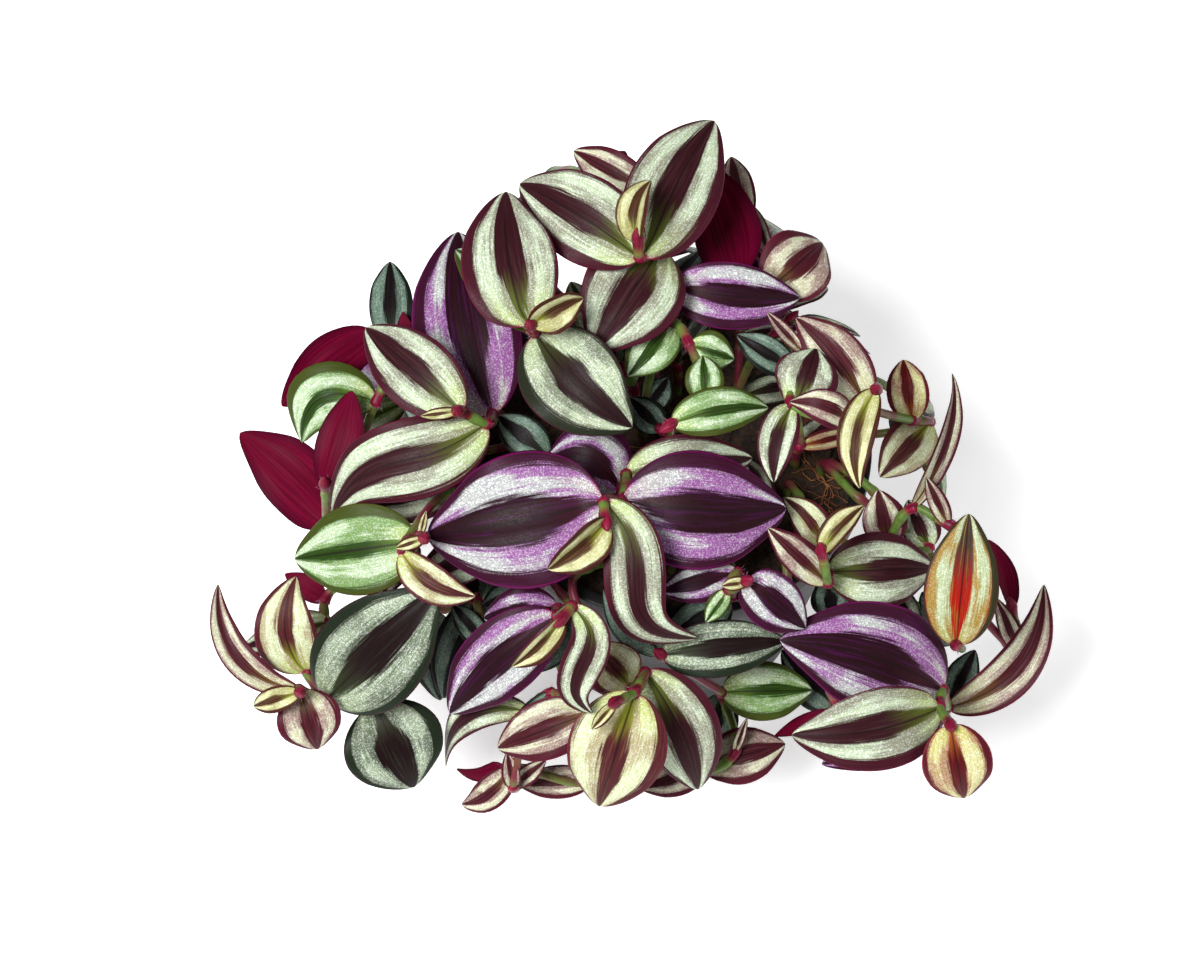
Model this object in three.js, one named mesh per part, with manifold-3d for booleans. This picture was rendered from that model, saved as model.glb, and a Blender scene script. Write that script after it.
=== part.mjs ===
// A striped tradescantia in a plain nursery pot: leafy stems mound over the rim and hang past it.
// Millimetres, +Z up. The origin is the middle of the pot's underside, and +Y points away from
// the side that the plant is best seen from.
import * as THREE from "three";
import { mergeVertices } from "three/addons/utils/BufferGeometryUtils.js";
import Module from "manifold-3d";

const wasm = await Module();
wasm.setup();

// Driving dimensions of the pot and its soil
const POT = {
  height: 110,
  rimRadius: 68,
  rimTall: 9,
  rimProud: 2.6,
  baseRadius: 50,
  baseCorner: 1.5,
  wall: 2,
  floor: 3,
  sides: 32,
  drains: 5,
  drainRadius: 4.5,
  drainSides: 9,
  drainCircle: 32,
};
const SOIL = { level: 101, crown: 2, rings: 2, gap: 0.4 };
const HOLE = { radius: 3.4, depth: 22, sides: 4, apart: 7.4 };

// Driving dimensions of the plant
const STEM = { radius: 2, sides: 3, stepLength: 21, seat: 20, rise: 7, neck: 4, nodeSize: 6, tip: 3 };
const BLADE = {
  thick: 0.8,
  rootHalf: 1.1,
  tipHalf: 0.35,
  sinkIn: 1,
  segmentLength: 18.5,
  segments: [3, 5],
  facetShare: 1.05,
  foldedFrom: 16.5,
};

// A blade's outline: widest nearer its root the smaller the first, fuller the smaller the second,
// and drawn in by a share from a place along it to its tip
const OUTLINE = { widest: 0.82, full: 0.58, drawnIn: 0.18, drawnFrom: 0.7 };
const RIPPLE = { turns: 9, apart: 2 };

// The mound's skin in the view, and how its leaves keep clear of each other
const SKIN = { middle: [628, 470], radii: [146, 120], crest: 46, fall: 40, steepest: -34 };
const LAYER = { cell: 2.4, gap: 2.5, step: 3.5, samplesAlong: 26, samplesAcross: 13 };
const CLEAR = { voxel: 2.5, step: 2, floor: 18, potStep: 2, potTurn: 2, soilTurn: 3, soilRim: 4 };

// The view that the plant is best seen from: the places of its foremost leaves are picture
// places in that view, and a picture's millimetre is a real one in the plane of the pot's rim
const VIEW = { elevation: 60, distance: 900, mmPerPixel: 0.34, middle: [600, 480], rimAt: [672, 440] };

const rad = THREE.MathUtils.degToRad;
const elevation = rad(VIEW.elevation);
const RIGHT = new THREE.Vector3(1, 0, 0);
const UP = new THREE.Vector3(0, Math.sin(elevation), Math.cos(elevation));
const BACK = new THREE.Vector3(0, -Math.cos(elevation), Math.sin(elevation));
const RIM_MIDDLE = new THREE.Vector3(0, 0, POT.height);

// A pixel of the view as millimetres right and up from the view's middle
function picture([x, y]) {
  return [(x - VIEW.middle[0]) * VIEW.mmPerPixel, (VIEW.middle[1] - y) * VIEW.mmPerPixel];
}

const [rimRight, rimUp] = picture(VIEW.rimAt);
const TARGET = RIM_MIDDLE.clone().addScaledVector(RIGHT, -rimRight).addScaledVector(UP, -rimUp);

// View space is right, up and toward the eye; the eye's perspective is taken up here
function toModel(p) {
  const shrink = 1 - p.z / VIEW.distance;
  return TARGET.clone()
    .addScaledVector(BACK, p.z)
    .addScaledVector(RIGHT, p.x * shrink)
    .addScaledVector(UP, p.y * shrink);
}

function toView(p) {
  const from = p.clone().sub(TARGET);
  const near = from.dot(BACK);
  const shrink = 1 - near / VIEW.distance;
  return new THREE.Vector3(from.dot(RIGHT) / shrink, from.dot(UP) / shrink, near);
}

// How near the eye the mound's skin lies at a place in the view: it falls away from its crest
const [crestRight, crestUp] = picture(SKIN.middle);
function skinDepth(x, y) {
  const out = ((x - crestRight) / SKIN.radii[0]) ** 2 + ((y - crestUp) / SKIN.radii[1]) ** 2;
  return SKIN.crest - SKIN.fall * out;
}

// One leaf: its tone, root and tip in pixels of the view, greatest width in millimetres, how many
// leaves deep it lies, and how it bends. Angles are degrees; arch, sweep, hook, curl and wave are
// shares of its size. A hook bends it aside toward its tip and back toward its root.
const FLAT = {
  tilt: 0,
  roll: 0,
  arch: 0.1,
  sweep: 0,
  hook: 0,
  fold: 14,
  curl: 0.22,
  twist: 0,
  wave: 0,
};
function leaf(tone, root, tip, width, deep, bend = {}) {
  return { tone, root, tip, width, deep, ...FLAT, ...bend };
}

// The leafy stems, each with the place of its hole in the soil
const SHOOTS = {
  crown: [
    [-5, 14],
    leaf("young", [638, 241], [651, 181], 17, 1, { fold: 46, sweep: 0.1, tilt: 20, roll: -24 }),
    leaf("silver", [645, 260], [714, 121], 33, 2, { arch: 0.07, sweep: 0.03 }),
    leaf("silver", [640, 258], [520, 184], 31, 2, { arch: 0.12, sweep: -0.03 }),
    leaf("silver", [661, 248], [593, 351], 36, 4, { arch: 0.15 }),
    leaf("purple", [672, 287], [799, 298], 25, 5, { fold: 22, sweep: -0.03 }),
    leaf("pale", [648, 190], [574, 151], 16, 6, { fold: 25 }),
  ],
  crown_right: [
    [23, 22],
    leaf("silver", [738, 278], [699, 159], 25, 6, { roll: 165, arch: 0.12 }),
    leaf("pale", [745, 225], [731, 157], 13, 7, { fold: 25 }),
    leaf("pale", [768, 290], [822, 243], 27, 6, { arch: 0.2, fold: 20 }),
    leaf("pale", [770, 258], [752, 206], 9, 7, { fold: 50 }),
  ],
  upper_left: [
    [-21, 15],
    leaf("young", [531, 325], [583, 298], 20, 1, { fold: 46, sweep: 0.1, roll: 26 }),
    leaf("silver", [527, 331], [506, 192], 34, 2, { arch: 0.1, sweep: 0.05 }),
    leaf("deep", [536, 333], [632, 427], 35, 3, { arch: 0.12, sweep: -0.06 }),
  ],
  left: [
    [-46, -1],
    leaf("young", [458, 411], [421, 416], 6, 1, { fold: 45 }),
    leaf("silver", [462, 412], [366, 328], 27, 3, { fold: 20, arch: 0.08 }),
    leaf("silver", [487, 424], [333, 513], 29, 4, { sweep: -0.06, hook: -0.045, arch: 0.14 }),
    leaf("purple", [492, 415], [458, 232], 38, 5, { arch: 0.1, sweep: 0.05 }),
  ],
  far_left: [
    [-46, -1],
    leaf("shade", [392, 345], [390, 262], 16, 6, { fold: 20 }),
    leaf("deep", [405, 345], [403, 312], 6, 6, { roll: 170 }),
    leaf("deep", [374, 332], [282, 406], 20, 6, { roll: 160 }),
    leaf("green", [376, 402], [302, 442], 24, 5, { sweep: -0.34, arch: 0.2 }),
    leaf("purple", [325, 485], [352, 391], 17, 5, { roll: 165 }),
    leaf("purple", [330, 522], [240, 433], 26, 6, { roll: 160, arch: 0.14 }),
  ],
  left_middle: [
    [-52, -9],
    leaf("young", [424, 538], [396, 548], 6, 1, { fold: 40 }),
    leaf("young", [420, 536], [426, 511], 4, 2, { fold: 40 }),
    leaf("green", [418, 541], [295, 559], 33, 3, { arch: 0.08, fold: 18 }),
    leaf("lime", [402, 552], [475, 596], 15, 2, { sweep: -0.14, fold: 24 }),
  ],
  centre: [
    [-5, -8],
    leaf("young", [606, 520], [548, 569], 21, 1, { fold: 44, tilt: 12, roll: -28 }),
    leaf("silver", [604, 501], [698, 638], 22, 2, { sweep: -0.13, hook: -0.095, arch: 0.15, twist: 20 }),
    leaf("purple", [607, 500], [427, 536], 48, 3, { arch: 0.09, fold: 12, sweep: 0.02 }),
    leaf("purple", [622, 500], [786, 508], 42, 3, { arch: 0.1, sweep: -0.04, wave: 0.05 }),
    leaf("purple", [620, 490], [546, 461], 28, 5, { sweep: -0.2, arch: 0.2 }),
    leaf("silver", [626, 474], [752, 458], 23, 5, { arch: 0.1 }),
    leaf("shade", [548, 456], [498, 416], 15, 6),
  ],
  centre_green: [
    [10, 6],
    leaf("green", [706, 402], [703, 356], 14, 3, { arch: 0.2 }),
    leaf("green", [672, 424], [768, 408], 17, 3, { arch: 0.14, sweep: 0.06 }),
    leaf("green", [690, 345], [734, 359], 15, 4, { arch: 0.2 }),
    leaf("green", [672, 322], [628, 376], 18, 5),
    leaf("shade", [646, 410], [668, 378], 11, 6),
    leaf("shade", [662, 430], [630, 398], 12, 6),
  ],
  right_top: [
    [34, -1],
    leaf("silver", [792, 405], [774, 482], 15, 2, { fold: 25, sweep: -0.08 }),
    leaf("pale", [852, 425], [790, 402], 13, 2, { arch: 0.28, sweep: -0.12 }),
    leaf("silver", [798, 402], [816, 349], 23, 3, { arch: 0.22 }),
    leaf("sun", [800, 446], [862, 430], 9, 3, { fold: 40 }),
    leaf("shade", [792, 370], [737, 335], 14, 5, { fold: 30 }),
    leaf("pale", [804, 353], [767, 312], 8, 5, { fold: 50 }),
  ],
  right_edge: [
    [48, 9],
    leaf("young", [876, 390], [860, 488], 15, 2, { sweep: -0.12, fold: 26, twist: 25 }),
    leaf("sun", [912, 420], [903, 360], 16, 3, { arch: 0.22, fold: 24 }),
    leaf("pale", [866, 406], [796, 318], 20, 4, { sweep: -0.06 }),
    leaf("lime", [930, 422], [880, 477], 18, 4, { arch: 0.16 }),
  ],
  far_right: [
    [51, -9],
    leaf("pale", [912, 508], [952, 374], 12, 3, { fold: 52, sweep: -0.1, twist: 40 }),
    leaf("pale", [948, 524], [926, 477], 8, 3, { fold: 30 }),
    leaf("pale", [890, 545], [878, 490], 16, 4),
    leaf("silver", [930, 548], [908, 500], 14, 5),
  ],
  outer_tip: [
    [51, -9],
    leaf("purple", [1012, 609], [988, 540], 10, 6, { roll: 150, fold: 35 }),
    leaf("pale", [1020, 652], [996, 598], 9, 6, { fold: 30 }),
  ],
  right_middle: [
    [39, -17],
    leaf("young", [822, 553], [864, 506], 14, 2, { fold: 42, roll: -26 }),
    leaf("silver", [827, 572], [934, 568], 27, 3, { arch: 0.14 }),
    leaf("pale", [828, 583], [768, 528], 13, 3),
    leaf("lime", [822, 545], [784, 498], 13, 4, { arch: 0.25, sweep: -0.1 }),
    leaf("shade", [827, 582], [834, 620], 14, 7),
  ],
  right_low: [
    [20, -20],
    leaf("young", [745, 582], [722, 586], 6, 1, { fold: 30 }),
    leaf("purple", [742, 576], [805, 628], 20, 2, { arch: 0.14 }),
    leaf("green", [728, 590], [706, 622], 8, 3, { arch: 0.15 }),
    leaf("purple", [737, 572], [660, 592], 15, 6),
    leaf("shade", [730, 600], [662, 646], 17, 7),
  ],
  lower_right: [
    [43, -33],
    leaf("sun", [950, 724], [964, 798], 25, 1, { arch: 0.16 }),
    leaf("silver", [940, 707], [792, 735], 29, 2, { arch: 0.14, sweep: 0.07 }),
    leaf("purple", [943, 690], [780, 640], 40, 3, { arch: 0.12, sweep: -0.06 }),
    leaf("pale", [948, 707], [1044, 585], 19, 4, { sweep: -0.2, fold: 32, twist: -40 }),
    leaf("purple", [925, 738], [822, 764], 14, 5, { fold: 20 }),
    leaf("purple", [840, 712], [775, 736], 7, 6, { roll: 170 }),
    leaf("shade", [950, 702], [975, 650], 12, 6),
    leaf("shade", [838, 706], [782, 650], 18, 7),
  ],
  right_outer: [
    [43, -33],
    leaf("autumn", [956, 645], [969, 514], 27, 2, { arch: 0.12, fold: 18 }),
    leaf("shade", [956, 643], [922, 592], 16, 6),
  ],
  low_green: [
    [16, -38],
    leaf("dusk", [662, 655], [786, 641], 21, 4, { fold: 20 }),
    leaf("green", [722, 692], [812, 690], 21, 5, { arch: 0.14 }),
    leaf("pale", [735, 752], [747, 718], 5, 4, { fold: 40 }),
    leaf("pale", [708, 765], [785, 744], 20, 6, { arch: 0.14 }),
    leaf("pale", [705, 770], [640, 788], 13, 6),
    leaf("shade", [658, 648], [604, 590], 17, 7),
    leaf("shade", [722, 694], [712, 752], 15, 7),
  ],
  lower_centre: [
    [-1, -46],
    leaf("young", [616, 702], [592, 729], 6, 1, { fold: 35 }),
    leaf("lime", [635, 692], [599, 806], 35, 2, { arch: 0.12 }),
    leaf("lime", [630, 686], [592, 643], 20, 3, { arch: 0.22 }),
    leaf("silver", [645, 672], [698, 789], 28, 3, { arch: 0.14, sweep: 0.06 }),
  ],
  low_left: [
    [-24, -32],
    leaf("young", [562, 618], [512, 666], 14, 1, { fold: 46, tilt: 10, roll: -28 }),
    leaf("silver", [572, 606], [592, 713], 17, 2, { fold: 30, hook: -0.11, twist: 20 }),
    leaf("purple", [557, 616], [450, 713], 27, 3, { sweep: -0.04 }),
    leaf("purple", [558, 608], [484, 618], 19, 4, { arch: 0.2 }),
    leaf("shade", [572, 610], [536, 672], 15, 7),
  ],
  bottom: [
    [-16, -50],
    leaf("pale", [592, 712], [498, 748], 22, 3, { fold: 20 }),
    leaf("shade", [552, 693], [512, 737], 10, 4, { fold: 30 }),
    leaf("silver", [530, 712], [446, 766], 13, 5, { sweep: -0.28, arch: 0.1, twist: 50 }),
    leaf("pale", [592, 780], [518, 784], 12, 6),
    leaf("pale", [513, 787], [507, 752], 8, 4, { fold: 35 }),
    leaf("purple", [505, 757], [457, 769], 7, 5, { roll: 150, sweep: 0.28 }),
    leaf("pale", [510, 768], [462, 804], 12, 5, { sweep: 0.12, twist: 30 }),
    leaf("pale", [515, 785], [546, 760], 8, 5, { fold: 30 }),
  ],
  lower_left: [
    [-44, -29],
    leaf("young", [300, 692], [254, 706], 11, 1, { fold: 35 }),
    leaf("pale", [292, 690], [218, 585], 13, 2, { sweep: 0.2, fold: 30, twist: 30 }),
    leaf("lime", [306, 672], [296, 577], 22, 3, { sweep: 0.17, arch: 0.18 }),
    leaf("pale", [300, 690], [318, 749], 23, 2, { arch: 0.2 }),
    leaf("dusk", [326, 700], [437, 590], 39, 3, { arch: 0.1 }),
    leaf("purple", [325, 600], [285, 574], 9, 6, { roll: 165 }),
    leaf("dusk", [374, 704], [414, 787], 36, 5, { arch: 0.16 }),
  ],
  shaded: [
    [-24, -32],
    leaf("shade", [476, 600], [444, 698], 20, 6, { fold: 22 }),
    leaf("shade", [486, 645], [452, 604], 10, 6),
    leaf("shade", [476, 602], [462, 555], 18, 7),
    leaf("shade", [430, 610], [440, 700], 18, 7),
    leaf("shade", [535, 590], [482, 606], 14, 7),
  ],
};

// Shoots that share a hole branch from one base and are one piece, named for the first of them
const BASES = {};
for (const [name, [hole]] of Object.entries(SHOOTS)) {
  BASES[name] = Object.keys(SHOOTS).find((other) => SHOOTS[other][0].join() === hole.join());
}

// The leaves that the view hides, or shows only in the gaps between the foremost ones: lower
// leaves on the foremost stems, stems that arch over the rim and hang all round, and short inner
// stems that fill the mound. They are laid out by rule.
const LOWER = { leaves: 4, from: 0.04, to: 0.66, size: [26, 46], tries: 30 };
const HANGING = {
  turns: [80, 355, 132, 217, 185, 100, 153, 18, 330, 60, 290, 245],
  seed: 1000,
  holes: [20, 54],
  reach: [80, 122],
  rise: [6, 66],
  endHeight: [30, 96],
  leaves: 6,
  enough: 5,
  from: 0.005,
  to: 0.62,
  size: [36, 56],
  tries: 16,
};
const INNER = {
  turns: [20, 157, 72, 300],
  seed: 51000,
  holes: [2, 40],
  reach: [14, 58],
  rise: [16, 60],
  leaves: 6,
  enough: 5,
  from: 0.01,
  to: 0.75,
  size: [28, 44],
  tries: 24,
};
const STEM_TRIES = 40;
const HOLE_TRIES = 60;

// How far round the pot, in degrees, a stem's heading, its hole and its end stray
const STRAY = { heading: 15, hole: 40, end: 20 };

// A hanging stem's way, as shares of its reach and of its swing; an inner stem's middle, as shares
// of its rise and of its reach
const ARCH = { shoulder: [0.97, 0.6], crest: [0.72, 0.3], innerRise: 0.8, innerReach: 0.4 };

// Leaves laid by rule: their width to their length, the most of one that may show, how far out the
// foremost leaves are looked for, and how much shorter the last tried one is than the first
const LEAF_RATIO = 0.52;
const MOST_SHOWN = 0.04;
const GAP_CELLS = 11;
const SHORTER = 0.4;
const RULED = { arch: [0.06, 0.2], fold: [10, 24], sweep: [-0.07, 0.07], between: [0.65, 0.35] };

// How such a leaf stands off its stem: least and most shares of its direction along the stem,
// round the pot, outward and up, how far its face leans out, and its roll in degrees
const STANCE = {
  along: [0.2, 0.65],
  around: [0.35, 1.1],
  outward: [0.2, 0.9],
  up: [0.25, -0.6],
  lean: [0.3, 1.1],
  roll: [-20, 20],
};

// The same draws each time, each from 0 to 1: a 32-bit generator that mixes the bits of a counter
function drawer(seed) {
  let state = seed >>> 0;
  return () => {
    state = (state + 0x6d2b79f5) >>> 0;
    let t = Math.imul(state ^ (state >>> 15), 1 | state);
    t = (t + Math.imul(t ^ (t >>> 7), 61 | t)) ^ t;
    return ((t ^ (t >>> 14)) >>> 0) / 2 ** 32;
  };
}

// A leaf's own frame: along from root to tip, left across it, and out of its upper face
function leafFrame(root, along, left, roll, length) {
  const out = new THREE.Vector3().crossVectors(along, left);
  const across = left.clone().multiplyScalar(Math.cos(roll)).addScaledVector(out, Math.sin(roll));
  const face = new THREE.Vector3().crossVectors(along, across);
  return { root, along, across, face, left, length };
}

// A foremost leaf's frame in view space, its root at the given depth
function viewFrame(one, depth) {
  const [x0, y0] = picture(one.root);
  const [x1, y1] = picture(one.tip);
  const flat = Math.hypot(x1 - x0, y1 - y0);
  const slope = Math.atan2(skinDepth(x1, y1) - skinDepth(x0, y0), flat);
  const tilt = THREE.MathUtils.clamp(slope, rad(SKIN.steepest), rad(-SKIN.steepest)) + rad(one.tilt);
  const dx = (x1 - x0) / flat;
  const dy = (y1 - y0) / flat;
  const along = new THREE.Vector3(dx * Math.cos(tilt), dy * Math.cos(tilt), Math.sin(tilt));
  const left = new THREE.Vector3(-dy, dx, 0);
  return leafFrame(new THREE.Vector3(x0, y0, depth), along, left, rad(one.roll), flat / Math.cos(tilt));
}

// The blade's half width: round at the root, widest before the middle, drawn out at the tip
function halfWidth(one, t) {
  const round = Math.abs(Math.sin(Math.PI * Math.pow(t, OUTLINE.widest))) ** OUTLINE.full;
  const toTip = Math.max(0, (t - OUTLINE.drawnFrom) / (1 - OUTLINE.drawnFrom));
  const plain = round * (1 - OUTLINE.drawnIn * toTip);
  const least = BLADE.rootHalf + (BLADE.tipHalf - BLADE.rootHalf) * t;
  return Math.max((one.width / 2) * plain, least);
}

// A point of the blade at t along it and s across it, from -1 to 1, off its middle surface by lift
function bladePoint(one, frame, t, s, lift) {
  const bow = 4 * t * (1 - t);
  const { root, along, across, face, left, length } = frame;
  const point = root.clone().addScaledVector(along, length * t);
  const cycle = 2 * Math.PI;
  const aside = one.sweep * bow - one.hook * Math.sin(cycle * t);
  point.addScaledVector(face, one.arch * length * bow).addScaledVector(left, aside * length);
  const lean = 4 - 8 * t;
  const leanAside = one.sweep * lean - one.hook * cycle * Math.cos(cycle * t);
  const tangent = along.clone().addScaledVector(face, one.arch * lean);
  tangent.addScaledVector(left, leanAside).normalize();
  const turn = rad(one.twist) * t * t;
  const side = across.clone().multiplyScalar(Math.cos(turn)).addScaledVector(face, Math.sin(turn));
  side.addScaledVector(tangent, -side.dot(tangent)).normalize();
  const out = new THREE.Vector3().crossVectors(tangent, side);
  const half = halfWidth(one, t);
  const fold = rad(one.fold);
  const wave = one.wave * Math.sin(RIPPLE.turns * t + RIPPLE.apart * Math.sign(s)) * s * s;
  const height = half * (Math.abs(s) * Math.sin(fold) - one.curl * s * s + wave) + lift;
  return point.addScaledVector(side, half * s * Math.cos(fold)).addScaledVector(out, height);
}

// Points all over a blade, for finding out what it would touch
function bladeSamples(one, frame) {
  const points = [];
  for (let i = 0; i <= LAYER.samplesAlong; i++)
    for (let j = 0; j <= LAYER.samplesAcross; j++) {
      const s = (2 * j) / LAYER.samplesAcross - 1;
      points.push(bladePoint(one, frame, i / LAYER.samplesAlong, s, 0));
    }
  return points;
}

// What has been laid so far, cell by cell of the view: how near the eye its nearest point comes. The
// cells are numbered row by row, with room enough for the whole view in a row.
const CELLS = 4096;
const laid = new Map();
const cellOf = (x, y) => Math.round(x / LAYER.cell) * CELLS + Math.round(y / LAYER.cell);
function lay(points) {
  for (const p of points)
    for (const i of [-1, 0, 1])
      for (const j of [-1, 0, 1]) {
        const cell = cellOf(p.x + i * LAYER.cell, p.y + j * LAYER.cell);
        laid.set(cell, Math.max(laid.get(cell) ?? -Infinity, p.z));
      }
}

// Radius of the pot's tapered wall at a height, outside
const UNDER_RIM = POT.height - POT.rimTall;
function wallRadius(z) {
  const widening = POT.rimRadius - POT.rimProud - POT.baseRadius;
  return POT.baseRadius + (widening * Math.min(z, UNDER_RIM)) / UNDER_RIM;
}

// The point at a turn about the upright axis, in radians
function around(radius, turn, z) {
  return new THREE.Vector3(radius * Math.cos(turn), radius * Math.sin(turn), z);
}

// Points all over the pot's outside and the soil's top
const SOIL_TOP = SOIL.level + SOIL.crown;
function potSamples() {
  const points = [];
  for (let z = 0; z <= POT.height; z += CLEAR.potStep)
    for (let turn = 0; turn < 360; turn += CLEAR.potTurn)
      points.push(around(z > UNDER_RIM ? POT.rimRadius : wallRadius(z), rad(turn), z));
  for (let r = 1; r < POT.rimRadius - CLEAR.soilRim; r += CLEAR.potStep)
    for (let turn = 0; turn < 360; turn += CLEAR.soilTurn) points.push(around(r, rad(turn), SOIL_TOP));
  return points;
}

// The foremost leaves are laid from the deepest to the nearest, each a gap nearer to the eye than
// all that it covers
function layLeaves() {
  const order = [];
  for (const [shoot, leaves] of Object.entries(SHOOTS))
    for (const one of leaves.slice(1)) order.push({ shoot, one });
  order.sort((a, b) => b.one.deep - a.one.deep);
  for (const item of order) {
    const [x, y] = picture(item.one.root);
    let depth = skinDepth(x, y) - LAYER.step * (item.one.deep - 1);
    const points = bladeSamples(item.one, viewFrame(item.one, depth));
    let rise = 0;
    for (const p of points) {
      const under = laid.get(cellOf(p.x, p.y));
      if (under !== undefined) rise = Math.max(rise, under + LAYER.gap - p.z);
    }
    depth += rise;
    item.frame = viewFrame(item.one, depth);
    item.samples = points.map((p) => p.setZ(p.z + rise));
    lay(item.samples);
  }
  return order;
}

// Space that is taken, as small cubes with the name of what takes them. The cubes are numbered row
// by row and layer by layer, with the origin in the middle.
const CUBES = 1024;
const taken = new Map();
const cubeOf = (x, y, z) => {
  const at = [x, y, z].map((v) => Math.round(v / CLEAR.voxel) + CUBES / 2);
  return (at[0] * CUBES + at[1]) * CUBES + at[2];
};
function take(points, name) {
  for (const p of points) taken.set(cubeOf(p.x, p.y, p.z), name);
}

// Whether a point comes within about a cube of what others have taken
const NEAR = [-CLEAR.voxel, 0, CLEAR.voxel];
function isTaken(p, name) {
  for (const x of NEAR)
    for (const y of NEAR)
      for (const z of NEAR) {
        const owner = taken.get(cubeOf(p.x + x, p.y + y, p.z + z));
        if (owner !== undefined && owner !== name) return true;
      }
  return false;
}
function touches(points, name) {
  return points.filter((p) => isTaken(p, name)).length;
}

function samplesOf(curve) {
  return curve.getSpacedPoints(Math.ceil(curve.getLength() / CLEAR.step));
}

// A stem takes its thickness all round its curve
const AXES = [new THREE.Vector3(1, 0, 0), new THREE.Vector3(0, 1, 0), new THREE.Vector3(0, 0, 1)];
function takeStem(curve, name) {
  const line = samplesOf(curve);
  take(line, name);
  for (const axis of AXES)
    for (const side of [-STEM.radius, STEM.radius])
      take(line.map((p) => p.clone().addScaledVector(axis, side)), name);
}

// A stem's way from its last leaf to its hole: over the rim where the leaf hangs outside the pot.
// The first way that touches nothing is taken, or else the one that touches least. Leans are
// degrees; a lift raises a way over the rim, or draws an inner one toward its hole.
const WAYS = {
  leans: [0, 7, -7, 14, -14, 21, -21, 30, -30, 40, -40],
  lifts: [0, 5, 10, 16, 24],
  overRim: 7,
  insideRim: 2,
  outsideFrom: 12,
  outsideBelow: 30,
  drawnBy: 60,
  ends: [3, -4],
};

function wayMiddle(last, mouth, outside, lift, lean) {
  if (outside) {
    const turn = Math.atan2(last.y, last.x) + rad(lean);
    return around(POT.rimRadius - WAYS.insideRim, turn, POT.height + WAYS.overRim + lift);
  }
  const away = new THREE.Vector3(last.y - mouth.y, mouth.x - last.x, 0);
  const middle = last.clone().lerp(mouth, 0.5).addScaledVector(away, Math.tan(rad(lean)) / 2);
  middle.x += (lift * (mouth.x - middle.x)) / WAYS.drawnBy;
  middle.y += (lift * (mouth.y - middle.y)) / WAYS.drawnBy;
  return middle;
}

function stemWay(name, [x, y], roots) {
  const last = roots[roots.length - 1];
  const mouth = new THREE.Vector3(x, y, SOIL_TOP + STEM.rise);
  const neck = new THREE.Vector3(x, y, SOIL_TOP - STEM.neck);
  const seat = new THREE.Vector3(x, y, SOIL_TOP - STEM.seat);
  const isFarOut = Math.hypot(last.x, last.y) > POT.rimRadius - WAYS.outsideFrom;
  const outside = isFarOut && last.z < POT.height + WAYS.outsideBelow;
  let best = { count: Infinity };
  for (const lift of WAYS.lifts)
    for (const lean of WAYS.leans) {
      const middle = wayMiddle(last, mouth, outside, lift, lean);
      const count = touches(samplesOf(stemCurve([last, middle, mouth, neck])).slice(...WAYS.ends), name);
      if (count < best.count) best = { count, middle };
      if (count === 0) break;
    }
  return [...roots, best.middle, mouth, neck, seat];
}

// A stem's nodes, from its tip down: leaves whose roots are close share one, and each next node is
// the one nearest to the last
function stemNodes(own) {
  const nodes = [];
  for (const item of own) {
    const root = toModel(item.frame.root);
    item.node = nodes.find((node) => node.distanceTo(root) < STEM.nodeSize) ?? root;
    if (item.node === root) nodes.push(root);
  }
  const chain = [nodes.shift()];
  while (nodes.length) {
    const end = chain[chain.length - 1];
    nodes.sort((a, b) => a.distanceTo(end) - b.distanceTo(end));
    chain.push(nodes.shift());
  }
  return chain;
}

// A stem's rows of corners: it passes through each of its points, with more rows in between and a
// short tip past the first
function stemRows(points) {
  const curve = stemCurve(points);
  const last = points.length - 1;
  const places = [1];
  for (let i = last - 1; i >= 0; i--) {
    const steps = Math.max(1, Math.round(points[i].distanceTo(points[i + 1]) / STEM.stepLength));
    for (let k = steps - 1; k >= 0; k--) places.unshift((i + k / steps) / last);
  }
  const rows = places.map((u) => ({ point: curve.getPoint(u), tangent: curve.getTangent(u) }));
  const { point, tangent } = rows[0];
  rows.unshift({ point: point.clone().addScaledVector(tangent, -STEM.tip), tangent });
  return rows;
}

function lengthOf(points) {
  let length = 0;
  for (let i = 1; i < points.length; i++) length += points[i].distanceTo(points[i - 1]);
  return length;
}

function stemCurve(points) {
  return new THREE.CatmullRomCurve3(points, false, "centripetal");
}

function between(draw, [low, high]) {
  return low + (high - low) * draw();
}

// A hanging stem rises from its hole, arches out over the rim and hangs; an inner one only rises
function hiddenStem(draw, rule, turn, [x, y]) {
  const reach = between(draw, rule.reach);
  const rise = between(draw, rule.rise);
  const swing = rad(STRAY.end) * (2 * draw() - 1);
  const points = [];
  if (rule.endHeight) {
    const end = between(draw, rule.endHeight);
    const [far, farSwing] = ARCH.shoulder;
    const [near, nearSwing] = ARCH.crest;
    points.push(around(reach, turn + swing, end));
    points.push(around(reach * far, turn + swing * farSwing, (end + SOIL_TOP + rise) / 2));
    points.push(around(reach * near, turn + swing * nearSwing, SOIL_TOP + rise));
  } else {
    const tip = around(reach, turn + swing, SOIL_TOP + rise);
    const foot = new THREE.Vector3(x, y, SOIL_TOP + rise * ARCH.innerRise);
    points.push(tip, foot.lerp(tip, ARCH.innerReach));
  }
  points.push(new THREE.Vector3(x, y, SOIL_TOP + STEM.rise));
  points.push(new THREE.Vector3(x, y, SOIL_TOP - STEM.neck));
  points.push(new THREE.Vector3(x, y, SOIL_TOP - STEM.seat));
  return points;
}

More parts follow.
